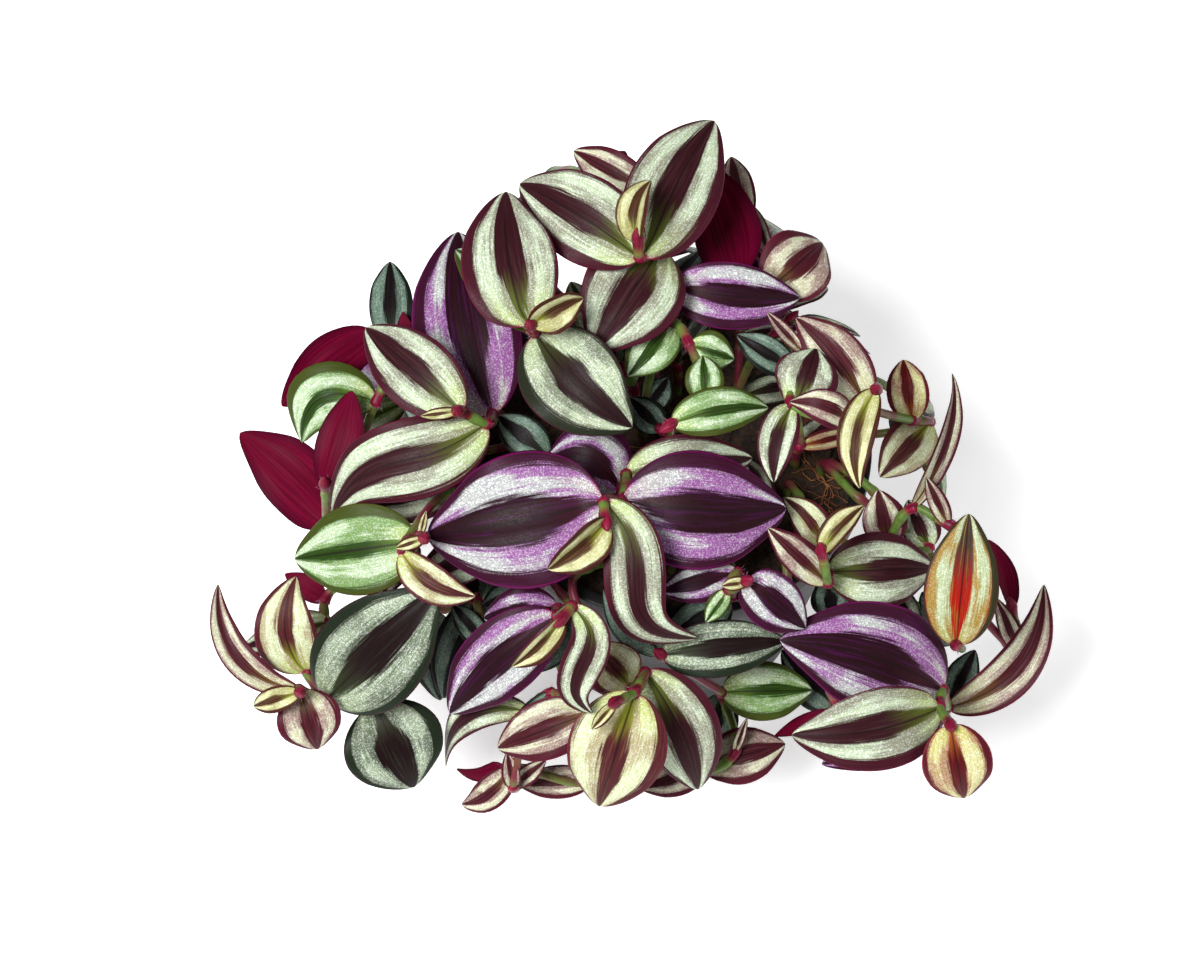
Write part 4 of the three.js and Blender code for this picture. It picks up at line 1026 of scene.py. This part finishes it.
# Noises drawn out along a leaf: their scales across it and along it, how far apart one leaf and
# the next lie in them, their detail and their roughness
DRAWN_OUT = {"broad": (3.0, 2.6, 37.0, 2.0, 0.5), "streak": (17.0, 2.0, 37.0, 3.0, 0.65),
             "fine": (60.0, 4.5, 37.0, 2.0, 0.6), "cloud": (1.6, 2.2, 91.0, 3.0, 0.5),
             "vein": (20.0, 1.5, 31.0, 3.0, 0.6), "rib": (9.0, 1.2, 11.0, 3.0, 0.6)}
# Noises in space: their scale, detail and roughness
GRAINS = {"spots": (420.0, 4.0, 0.6), "flush": (60.0, 2.0, 0.5), "tint": (900.0, 1.0, 0.5),
          "dust": (35.0, 5.0, 0.6), "grain": (2500.0, 2.0, 0.5), "crumb": (500.0, 6.0, 0.7),
          "patch": (70.0, 3.0, 0.5), "bark": (200.0, 3.0, 0.5), "floor": (3.0, 2.0, 0.5)}
# Where a noise turns from one of two colours to the other
HALVES = (0.35, 0.65)


class Nodes:
    """A material's node tree, built with short calls."""

    def __init__(self, name):
        self.material = bpy.data.materials.new(name)
        self.material.use_nodes = True
        self.tree = self.material.node_tree
        self.shader = self.tree.nodes["Principled BSDF"]

    def new(self, kind, **values):
        node = self.tree.nodes.new(kind)
        for key, value in values.items():
            setattr(node, key, value)
        return node

    def feed(self, socket, value):
        if isinstance(value, bpy.types.NodeSocket):
            self.tree.links.new(value, socket)
        else:
            socket.default_value = value

    def math(self, operation, a, b=0.0):
        node = self.new("ShaderNodeMath", operation=operation)
        self.feed(node.inputs[0], a)
        self.feed(node.inputs[1], b)
        return node.outputs[0]

    def sum(self, a, b):
        return self.math("ADD", a, b)

    def less(self, a, b):
        return self.math("SUBTRACT", a, b)

    def scaled(self, value, by):
        return self.math("MULTIPLY", value, by)

    def centred(self, value, by):
        """A noise's share as a swing about nought."""
        return self.scaled(self.less(value, 0.5), by)

    def step(self, value, low, high):
        node = self.new("ShaderNodeMapRange", interpolation_type="SMOOTHSTEP")
        for key, number in (("Value", value), ("From Min", low), ("From Max", high)):
            self.feed(node.inputs[key], number)
        return node.outputs["Result"]

    def mix(self, share, a, b):
        """A mix of two colours, which are this node's inputs 6 and 7 and its output 2."""
        node = self.new("ShaderNodeMix", data_type="RGBA")
        self.feed(node.inputs["Factor"], share)
        for socket, value in ((node.inputs[6], a), (node.inputs[7], b)):
            self.feed(socket, (*colour(value), 1.0) if isinstance(value, str) else value)
        return node.outputs[2]

    def noise(self, vector, scale, detail, rough):
        node = self.new("ShaderNodeTexNoise")
        values = {"Vector": vector, "Scale": scale, "Detail": detail, "Roughness": rough}
        for key, value in values.items():
            self.feed(node.inputs[key], value)
        return node.outputs["Fac"]

    def object_place(self):
        return self.new("ShaderNodeTexCoord").outputs["Object"]

    def grain(self, kind):
        return self.noise(self.object_place(), *GRAINS[kind])

    def parts(self, vector):
        node = self.new("ShaderNodeSeparateXYZ")
        self.feed(node.inputs[0], vector)
        return tuple(node.outputs)

    def leaf_place(self):
        """The places across a leaf and along it, and its own seed."""
        node = self.new("ShaderNodeAttribute", attribute_name="leaf_place")
        return self.parts(node.outputs["Vector"])

    def drawn_out(self, place, kind):
        *scales, detail, rough = DRAWN_OUT[kind]
        node = self.new("ShaderNodeCombineXYZ")
        for socket, value, scale in zip(node.inputs, place, scales):
            self.feed(socket, self.scaled(value, scale))
        return self.noise(node.outputs[0], 1.0, detail, rough)

    def cells(self, scale):
        """Three numbers that differ from one tiny cell of the skin to the next."""
        node = self.new("ShaderNodeTexVoronoi")
        node.inputs["Scale"].default_value = scale
        self.feed(node.inputs["Vector"], self.object_place())
        return self.parts(node.outputs["Color"])

    def finish(self, skin, roughness, specular=0.5, height=None, depth=0.0, strength=0.0):
        """Sets the shader. A height makes a bump, of a depth in metres and a strength."""
        for key, value in (("Base Color", skin), ("Roughness", roughness),
                           ("Specular IOR Level", specular)):
            self.feed(self.shader.inputs[key], value)
        if height is not None:
            node = self.new("ShaderNodeBump")
            for key, value in (("Height", height), ("Distance", depth), ("Strength", strength)):
                self.feed(node.inputs[key], value)
            self.feed(self.shader.inputs["Normal"], node.outputs["Normal"])
        return self.material


# The stripes of all tones, as shares of a leaf's half width or of its length; a pair is where a
# change begins and ends. They lean aside from leaf to leaf and are frayed by streaks and fine
# lines. The middle band opens from its root, and the margin closes toward its tip. Clouds turn a
# band's edges to another colour, and each tiny cell of it may be dull or carry a painted glint:
# white painted in as a highlight, less of it on the clouds.
STRIPES = {"lean": 0.28, "frayed": 0.32, "frayed_fine": 0.1, "opens": (0.0, 0.45), "at_root": 0.28,
           "closes": (1.0, 0.7), "at_tip": 0.12, "inner_swing": 0.26, "outer_swing": 0.1,
           "band_edge": (-0.04, 0.06), "margin_edge": (0.03, -0.05), "lines": (0.42, 0.68),
           "foot_edge": (0.34, 0.0), "foot_frayed": 0.3, "foot_share": 0.8, "clouds": 1.7,
           "clouds_frayed": 0.7, "clouds_edge": (0.26, 0.0), "turn": (0.08, 0.4),
           "turn_frayed": 0.5, "mottle": 0.25, "mottle_edge": (0.5, 0.66), "margin_share": 0.22,
           "margin_lines": (0.5, 0.75), "rim_edge": (0.95, 0.99), "midrib": (0.04, 0.012),
           "midrib_share": 0.7, "midrib_colour": "#14080b", "joint": (0.05, 0.0),
           "joint_share": 0.8, "joint_colour": "#7d1038", "cells": 3100.0, "painted_glint": (0.55, 1.0),
           "painted_glint_less": 0.6, "dull": (0.6, 1.0), "dull_share": 0.3, "rough": 0.32,
           "rough_swing": 0.2, "specular": 0.07, "bump": (0.6, 0.25), "bump_depth": (0.00014, 0.8)}

# Each tone's colours: the pale bands, their streaks, their edges and their foot, the dark middle
# band toward its tip and toward its root, the margin and its rim. Then the share of the clouds,
# where the middle band and the bands end, and how much painted glint, white painted in as
# highlights, a band carries.
COLOURS = ("band", "streak", "edge", "foot", "middle", "root", "margin", "rim")
SHARES = ("patches", "inner", "outer", "painted_glint_share")


def striped(colours, *shares, **own):
    """One tone's look: what all tones share, with its own colours and shares in their place."""
    return {**STRIPES, **dict(zip(COLOURS, colours.split())), **dict(zip(SHARES, shares)), **own}


LOOKS = {
    "silver": striped("#aebb9f #829272 #523a38 #99ab55 #2a0e14 #4a541c #370f1a #581430",
                      0.6, 0.32, 0.81, 0.45),
    "purple": striped("#9ea29d #828188 #741e78 #948888 #1e070e #2e0e18 #2d0a1c #640e4c",
                      0.86, 0.36, 0.77, 0.5, mottle=0.12),
    "deep": striped("#a1ad8f #758469 #3c3c30 #91a071 #1f0d10 #30341a #1d2116 #3e1c28",
                    0.65, 0.31, 0.81, 0.4),
    # The dusk tone is painted shade: a darker copy of the leaf looks for low leaves of the mound
    "dusk": striped("#88957c #5b6b55 #323a2a #7c8c63 #16090b #262c16 #161f13 #341c26",
                    0.7, 0.34, 0.79, 0.4),
    "green": striped("#a7b898 #7b9667 #567834 #94a549 #1f340b #486216 #343c13 #4a421a",
                     0.85, 0.2, 0.77, 0.42),
    "lime": striped("#bdc29f #9ba56f #7e6240 #9aa532 #41191d #7c8026 #41161d #681c34",
                    0.65, 0.27, 0.83, 0.42),
    "young": striped("#bdbd92 #9b9b60 #787236 #92943f #3f2417 #7a8028 #371613 #641c28",
                     0.65, 0.27, 0.76, 0.3),
    "pale": striped("#b7b99b #969076 #6e424a #9b9a60 #3b1219 #5a4224 #40111d #6a1a36",
                    0.75, 0.3, 0.79, 0.4),
    "sun": striped("#bdbb89 #a39850 #86403a #9d9a2e #4a0b10 #80401a #47111c #841c2c",
                   0.7, 0.27, 0.81, 0.38),
    "autumn": striped("#a9b492 #76864e #8c6a22 #9c9440 #362b24 #8c140e #262618 #46241c",
                      0.95, 0.32, 0.84, 0.35, mottle=0.75, turn=(0.35, 0.8)),
    # The shade tone is painted shade: a much darker copy of the leaf looks for leaves that lie deep
    # in the mound and show in its gaps
    "shade": striped("#63796a #405448 #26332c #4a6046 #10080b #182012 #0f1510 #20121a",
                     0.6, 0.3, 0.82, 0.14),
}


def leaf_material(name, look):
    """The upper face of a leaf: streaky bands that run from root to tip and meet there."""
    n = Nodes(name)
    place = n.leaf_place()
    across, along, seed = place
    kinds = ("broad", "streak", "fine", "cloud")
    broad, streak, fine, cloud = (n.drawn_out(place, kind) for kind in kinds)
    half = n.math("ABSOLUTE", across)
    frayed = n.sum(n.centred(streak, look["frayed"]), n.centred(fine, look["frayed_fine"]))
    off = n.sum(n.sum(half, n.scaled(across, n.centred(seed, look["lean"]))), frayed)

    opens = n.sum(n.scaled(n.step(along, *look["opens"]), 1 - look["at_root"]), look["at_root"])
    inner = n.sum(n.scaled(opens, look["inner"]), n.centred(broad, look["inner_swing"]))
    past_middle = n.less(off, inner)
    outer = n.less(look["outer"] - look["at_tip"], n.centred(broad, look["outer_swing"]))
    outer = n.sum(outer, n.scaled(n.step(along, *look["closes"]), look["at_tip"]))
    short_of_margin = n.less(outer, off)
    is_band = n.scaled(n.step(past_middle, *look["band_edge"]),
                       n.step(short_of_margin, *look["band_edge"]))
    is_margin = n.step(short_of_margin, *look["margin_edge"])

    band = n.mix(n.step(fine, *look["lines"]), look["band"], look["streak"])
    by_foot = n.step(n.sum(along, n.centred(streak, look["foot_frayed"])), *look["foot_edge"])
    band = n.mix(n.scaled(by_foot, look["foot_share"]), band, look["foot"])
    patch = n.sum(n.centred(cloud, look["clouds"]), n.centred(streak, look["clouds_frayed"]))
    patch = n.sum(n.math("MINIMUM", past_middle, short_of_margin), patch)
    patch = n.scaled(n.step(patch, *look["clouds_edge"]), look["patches"])
    band = n.mix(patch, band, look["edge"])

    to_tip = n.step(n.sum(along, n.centred(streak, look["turn_frayed"])), *look["turn"])
    middle = n.mix(to_tip, look["root"], look["middle"])
    mottle = n.scaled(n.step(streak, *look["mottle_edge"]), look["mottle"])
    middle = n.mix(mottle, middle, look["edge"])
    lines = n.scaled(n.step(fine, *look["margin_lines"]), look["margin_share"])
    margin = n.mix(lines, look["margin"], look["edge"])

    skin = n.mix(is_margin, n.mix(is_band, middle, band), margin)
    skin = n.mix(n.step(half, *look["rim_edge"]), skin, look["rim"])
    midrib = n.scaled(n.step(half, *look["midrib"]), look["midrib_share"])
    skin = n.mix(midrib, skin, look["midrib_colour"])
    joint = n.scaled(n.step(along, *look["joint"]), look["joint_share"])
    skin = n.mix(joint, skin, look["joint_colour"])

    # Painted glints: tiny cells of the bands are mixed toward white as painted highlights, less on
    # the clouds; the same cells also raise a fine bump
    painted_glint_and_bump_cell, dim, gloss = n.cells(look["cells"])
    painted_glint = n.scaled(n.step(painted_glint_and_bump_cell, *look["painted_glint"]), look["painted_glint_share"])
    painted_glint = n.scaled(painted_glint, n.less(1.0, n.scaled(patch, look["painted_glint_less"])))
    skin = n.mix(n.scaled(painted_glint, is_band), skin, "#ffffff")
    dull = n.scaled(n.step(dim, *look["dull"]), look["dull_share"])
    skin = n.mix(n.scaled(dull, is_band), skin, look["streak"])
    by_streak, by_cell = look["bump"]
    height = n.sum(n.scaled(streak, by_streak), n.scaled(painted_glint_and_bump_cell, by_cell))
    rough = n.sum(n.scaled(gloss, look["rough_swing"]), look["rough"])
    return n.finish(skin, rough, look["specular"], height, *look["bump_depth"])


def underside_material():
    """The burgundy underside, with fine lengthwise veins."""
    n = Nodes("leaf_underside")
    place = n.leaf_place()
    across = place[0]
    vein = n.drawn_out(place, "vein")
    skin = n.mix(n.step(vein, *HALVES), "#440016", "#5e0324")
    skin = n.mix(n.step(n.math("ABSOLUTE", across), low=0.6, high=1.0), skin, "#3c0018")
    return n.finish(skin, roughness=0.5, specular=0.04, height=vein, depth=0.00015, strength=0.7)


def stalk_material():
    """The stem: green, flushed with maroon, with fine spots."""
    n = Nodes("stalk")
    spots = n.grain("spots")
    skin = n.mix(n.step(n.grain("flush"), low=0.4, high=0.62), "#56702e", "#66202f")
    skin = n.mix(n.scaled(n.step(spots, low=0.5, high=0.7), by=0.5), skin, "#3c1420")
    return n.finish(skin, roughness=0.4, specular=0.2, height=spots, depth=0.0001, strength=0.6)


def sheath_material():
    """The crimson sheath that holds a leaf to its stem."""
    n = Nodes("sheath")
    place = n.leaf_place()
    along = place[1]
    rib = n.drawn_out(place, "rib")
    skin = n.mix(n.step(rib, *HALVES), "#4a0a1a", "#841436")
    skin = n.mix(n.step(along, low=0.55, high=1.0), skin, "#6d7a34")
    return n.finish(skin, roughness=0.38, specular=0.15, height=rib, depth=0.0002, strength=0.7)


def hair_material():
    n = Nodes("hair")
    return n.finish(n.mix(n.grain("tint"), "#b890a0", "#84405c"), roughness=0.5)


def pot_material():
    """Black moulded plastic: fine grain, faint scuffs and a film of dried dust."""
    n = Nodes("pot_plastic")
    dust = n.grain("dust")
    skin = n.mix(n.scaled(n.step(dust, low=0.5, high=0.75), by=0.35), "#08080a", "#1d1a17")
    rough = n.sum(0.36, n.scaled(dust, by=0.3))
    grain = n.grain("grain")
    return n.finish(skin, rough, specular=0.3, height=grain, depth=0.00006, strength=0.5)


def soil_material():
    """Damp peat, dark with paler fibres."""
    n = Nodes("soil_peat")
    crumb = n.grain("crumb")
    skin = n.mix(n.step(crumb, *HALVES), "#120b07", "#3d2819")
    patch = n.scaled(n.step(n.grain("patch"), low=0.5, high=0.8), by=0.4)
    skin = n.mix(patch, skin, "#5b3d24")
    return n.finish(skin, roughness=0.95, height=crumb, depth=0.0008, strength=1.0)


def root_material():
    n = Nodes("dry_root")
    bark = n.grain("bark")
    skin = n.mix(n.step(bark, *HALVES), "#6e3c18", "#a8703a")
    return n.finish(skin, roughness=0.75, height=bark, depth=0.0002, strength=0.8)


TONE_SKINS = {tone: leaf_material("leaf_" + tone, look) for tone, look in LOOKS.items()}
TONE_NAMES = list(TONE_SKINS)
PLANT_SKINS = [*TONE_SKINS.values(), underside_material(), stalk_material(), sheath_material(),
               hair_material()]
UNDERSIDE, STALK_SKIN, SHEATH_SKIN, HAIR_SKIN = range(len(TONE_NAMES), len(PLANT_SKINS))

LEAF_SEEDS = 1000

builds = {}
for number, shoot in enumerate(grow_plant()):
    build = builds.setdefault(shoot["name"], Build())
    for k, item in enumerate(shoot["leaves"]):
        tone = TONE_NAMES.index(item["one"]["tone"])
        add_leaf(build, item, LEAF_SEEDS * number + k, (tone, UNDERSIDE))
    add_stem(build, shoot, number, STALK_SKIN, SHEATH_SKIN, HAIR_SKIN)
for name, build in builds.items():
    piece = build.mesh("shoot_" + name, PLANT_SKINS)
    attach(piece, "root")
    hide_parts("stem_" + name)

# The pot's finer form in millimetres: its base is hollowed under its middle, and every corner of
# its profile is rounded
PROFILE = {"middle": 0.01, "hollow": 1.2, "hollow_to": 9, "foot_from": 7, "rim_slope": 0.8,
           "corner": 0.8, "corner_steps": 5, "count": 144, "drain_count": 24}


def rounded(corners, radius, steps):
    """A profile with its corners rounded off, the first and last kept."""
    path = [corners[0]]
    for before, corner, after in zip(corners, corners[1:], corners[2:]):
        before, corner, after = (np.array(c, float) for c in (before, corner, after))
        cut = min(radius, np.linalg.norm(before - corner) / 2, np.linalg.norm(after - corner) / 2)
        start = corner + unit(before - corner) * cut
        end = corner + unit(after - corner) * cut
        for t in np.linspace(0, 1, steps):
            path.append(start * (1 - t) ** 2 + corner * 2 * t * (1 - t) + end * t**2)
    return [*path, corners[-1]]


def with_holes(piece, places, radius, height):
    """The piece with upright round holes cut through its floor."""
    build = Build()
    turn = np.linspace(0, 2 * np.pi, PROFILE["drain_count"], endpoint=False)
    for place in places:
        points = np.vstack([on_circle(radius, turn, z) + [*place, 0] for z in (-height, height)])
        build.add(points, tube_faces(2, len(turn)))
    cutter = build.mesh("drain_cutter", [])
    cut = piece.modifiers.new("drains", "BOOLEAN")
    cut.object = cutter
    cut.operation = "DIFFERENCE"
    bpy.context.view_layer.update()
    graph = bpy.context.evaluated_depsgraph_get()
    mesh = bpy.data.meshes.new_from_object(piece.evaluated_get(graph))
    piece.modifiers.clear()
    piece.data = mesh
    bpy.data.objects.remove(cutter)
    return piece


def make_pot():
    base = POT["base_radius"]
    top = POT["height"]
    corners = [
        (PROFILE["middle"], PROFILE["hollow"]), (base - PROFILE["hollow_to"], PROFILE["hollow"]),
        (base - PROFILE["foot_from"], 0), (base - POT["base_corner"], 0),
        (wall_radius(POT["base_corner"]), POT["base_corner"]), (wall_radius(UNDER_RIM), UNDER_RIM),
        (POT["rim_radius"], UNDER_RIM + PROFILE["rim_slope"]), (POT["rim_radius"], top),
        *((wall_radius(z) - POT["wall"], z) for z in (top, UNDER_RIM, POT["floor"])),
        (PROFILE["middle"], POT["floor"])]
    profile = rounded(corners, PROFILE["corner"], PROFILE["corner_steps"])
    turn = np.linspace(0, 2 * np.pi, PROFILE["count"], endpoint=False)
    build = Build()
    points = np.vstack([on_circle(r, turn, z) for r, z in profile])
    build.add(points, tube_faces(len(profile), len(turn)))
    piece = build.mesh("nursery_pot", [pot_material()])
    turns = 2 * np.pi * (np.arange(POT["drains"]) + 0.5) / POT["drains"]
    places = np.stack([np.cos(turns), np.sin(turns)], -1) * POT["drain_circle"]
    return with_holes(piece, places, POT["drain_radius"], 2 * POT["floor"])


# The soil's mesh, and the size and the number of the waves that break up its top; its crumbs, with
# how much they shrink, are dented and stand proud; and the dry roots, most of them near a place at
# the front on the right
GROUND = {"count": 150, "rows": 62, "middle": 0.2, "shoulder": 3, "hole": 0.15, "level": 7.3,
          "waves": ((0.09, 1.0), (0.28, 0.7), (0.8, 0.4)), "seed": 5}
CRUMB = {"count": 420, "size": (0.6, 2.1), "shrink": (0.6, 1.1), "spread": 0.97, "dent": 0.45,
         "dents": 1.4, "proud": 0.25}
LITTER = {"roots": 30, "length": (8, 22), "radius": (0.14, 0.34), "points": 14, "near": (52, -14),
          "strays": (5, 8), "spread": 56, "every": 3, "within": 59, "turn_back": 0.6, "curl": 0.16,
          "wander": 0.35, "lift": 0.5, "lifts": 0.9, "spacing": 0.9, "taper": 0.75, "knots": 0.2,
          "knot_turns": 40, "count": 6, "seed": 11}
SOIL_EDGE = wall_radius(SOIL["level"]) - POT["wall"] - SOIL["gap"]


def soil_height(x, y):
    """The soil's top: a low crown, broken up into crumbs."""
    height = SOIL["level"] + SOIL["crown"] * (1 - (x * x + y * y) / SOIL_EDGE**2)
    for scale, size in GROUND["waves"]:
        height += size * noise.noise(Vector((x * scale, y * scale, GROUND["level"])))
    return height


def make_soil():
    rng = np.random.default_rng(GROUND["seed"])
    low = POT["floor"] + SOIL["gap"]
    turn = np.linspace(0, 2 * np.pi, GROUND["count"], endpoint=False)
    inside = wall_radius(low) - POT["wall"] - SOIL["gap"]
    below = ((GROUND["middle"], low), (inside, low),
             (SOIL_EDGE, SOIL["level"] - GROUND["shoulder"]))
    points = [point for r, z in below for point in on_circle(r, turn, z)]
    for k in range(GROUND["rows"]):
        r = SOIL_EDGE * (1 - k / GROUND["rows"]) + GROUND["hole"]
        points += [(x, y, soil_height(x, y)) for x, y, _ in on_circle(r, turn, 0)]
    build = Build()
    build.add(np.array(points), tube_faces(GROUND["rows"] + len(below), len(turn)))
    ball = bmesh.new()
    bmesh.ops.create_icosphere(ball, subdivisions=2, radius=1.0)
    sphere = np.array([v.co for v in ball.verts])
    sphere_faces = [tuple(v.index for v in f.verts) for f in ball.faces]
    ball.free()
    for _ in range(CRUMB["count"]):
        r = SOIL_EDGE * math.sqrt(rng.random()) * CRUMB["spread"]
        a = rng.uniform(0, 2 * math.pi)
        size = rng.uniform(*CRUMB["size"]) * rng.uniform(*CRUMB["shrink"])
        off = Vector((r, a, size))
        dents = np.array([noise.noise(Vector(v * CRUMB["dents"]) + off) for v in sphere])
        crumb = sphere * (1 + CRUMB["dent"] * dents)[:, None] * size
        crumb *= rng.uniform(*CRUMB["shrink"], 3)
        x, y = r * math.cos(a), r * math.sin(a)
        build.add(crumb + [x, y, soil_height(x, y) + CRUMB["proud"] * size], sphere_faces)
    return build.mesh("potting_soil", [soil_material()])


def make_litter():
    """Dry roots that lie on the soil."""
    rng = np.random.default_rng(LITTER["seed"])
    build = Build()
    steps = LITTER["points"] - 1
    for k in range(LITTER["roots"]):
        if k % LITTER["every"]:
            x, y = rng.normal(LITTER["near"], LITTER["strays"])
        else:
            r, a = LITTER["spread"] * math.sqrt(rng.random()), rng.uniform(0, 2 * math.pi)
            x, y = r * math.cos(a), r * math.sin(a)
        length = rng.uniform(*LITTER["length"])
        heading = rng.uniform(0, 2 * math.pi)
        curl = rng.uniform(-LITTER["curl"], LITTER["curl"])
        line = []
        for _ in range(LITTER["points"]):
            if math.hypot(x, y) > LITTER["within"]:
                back = rng.uniform(-LITTER["turn_back"], LITTER["turn_back"])
                heading = math.atan2(-y, -x) + back
            z = soil_height(x, y) + LITTER["lift"] + rng.uniform(0, LITTER["lifts"])
            line.append((x, y, z))
            heading += curl + rng.uniform(-LITTER["wander"], LITTER["wander"])
            x += length / steps * math.cos(heading)
            y += length / steps * math.sin(heading)
        smooth = Curve(line).spaced(LITTER["spacing"])
        share = np.linspace(0, 1, len(smooth))
        knots = 1 + LITTER["knots"] * np.sin(share * LITTER["knot_turns"])
        radii = rng.uniform(*LITTER["radius"]) * (1 - LITTER["taper"] * share) * knots
        add_tube(build, smooth, radii, LITTER["count"], 0, rng.random())
    return build.mesh("dry_roots", [root_material()])


for piece, node, slot in ((make_pot(), "pot", "pot"), (make_soil(), "soil", "soil"),
                          (make_litter(), None, "soil")):
    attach(piece, "root")
    if node:
        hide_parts(node)

# The floor, the light and the camera, in metres and watts
FLOOR = {"size": 12, "roughness": 0.9, "painted_glow": 0.45}
SKY_STRENGTH = 0.23
WHITE = (1, 1, 1, 1)
LIGHTS = {"key": ((-0.58, -0.6, 1.35), 0.55, 37.5), "fill": ((0.9, -0.3, 0.9), 0.8, 4)}
SENSOR = 36

bpy.ops.mesh.primitive_plane_add(size=FLOOR["size"])
floor = bpy.context.object
floor.name = "floor"
paint = Nodes("floor")
tint = paint.mix(paint.grain("floor"), "#f4f4f4", "#fafafa")
floor.data.materials.append(paint.finish(tint, FLOOR["roughness"]))
# Painted light: the floor glows white though it is no lamp, which lifts the shadows cast on it and
# lights the plant a little from below
paint.shader.inputs["Emission Color"].default_value = WHITE
paint.shader.inputs["Emission Strength"].default_value = FLOOR["painted_glow"]

world = bpy.data.worlds.new("studio")
world.use_nodes = True
world.node_tree.nodes["Background"].inputs["Color"].default_value = WHITE
world.node_tree.nodes["Background"].inputs["Strength"].default_value = SKY_STRENGTH
bpy.context.scene.world = world
bpy.context.scene.view_settings.view_transform = "Standard"

for name, (place, size, watts) in LIGHTS.items():
    light = bpy.data.lights.new(name, "AREA")
    light.size = size
    light.energy = watts
    lamp = bpy.data.objects.new(name, light)
    bpy.context.scene.collection.objects.link(lamp)
    lamp.location = place
    lamp.rotation_euler = (Vector(TARGET * MM) - Vector(place)).to_track_quat("-Z", "Y").to_euler()

camera = bpy.data.cameras.new("camera")
camera.sensor_width = SENSOR
camera.lens = SENSOR * VIEW["distance"] / (VIEW["width"] * VIEW["mm_per_pixel"])
eye = bpy.data.objects.new("camera", camera)
bpy.context.scene.collection.objects.link(eye)
eye.location = Vector((TARGET + BACK * VIEW["distance"]) * MM)
eye.rotation_euler = (math.radians(90 - VIEW["elevation"]), 0, 0)
bpy.context.scene.camera = eye
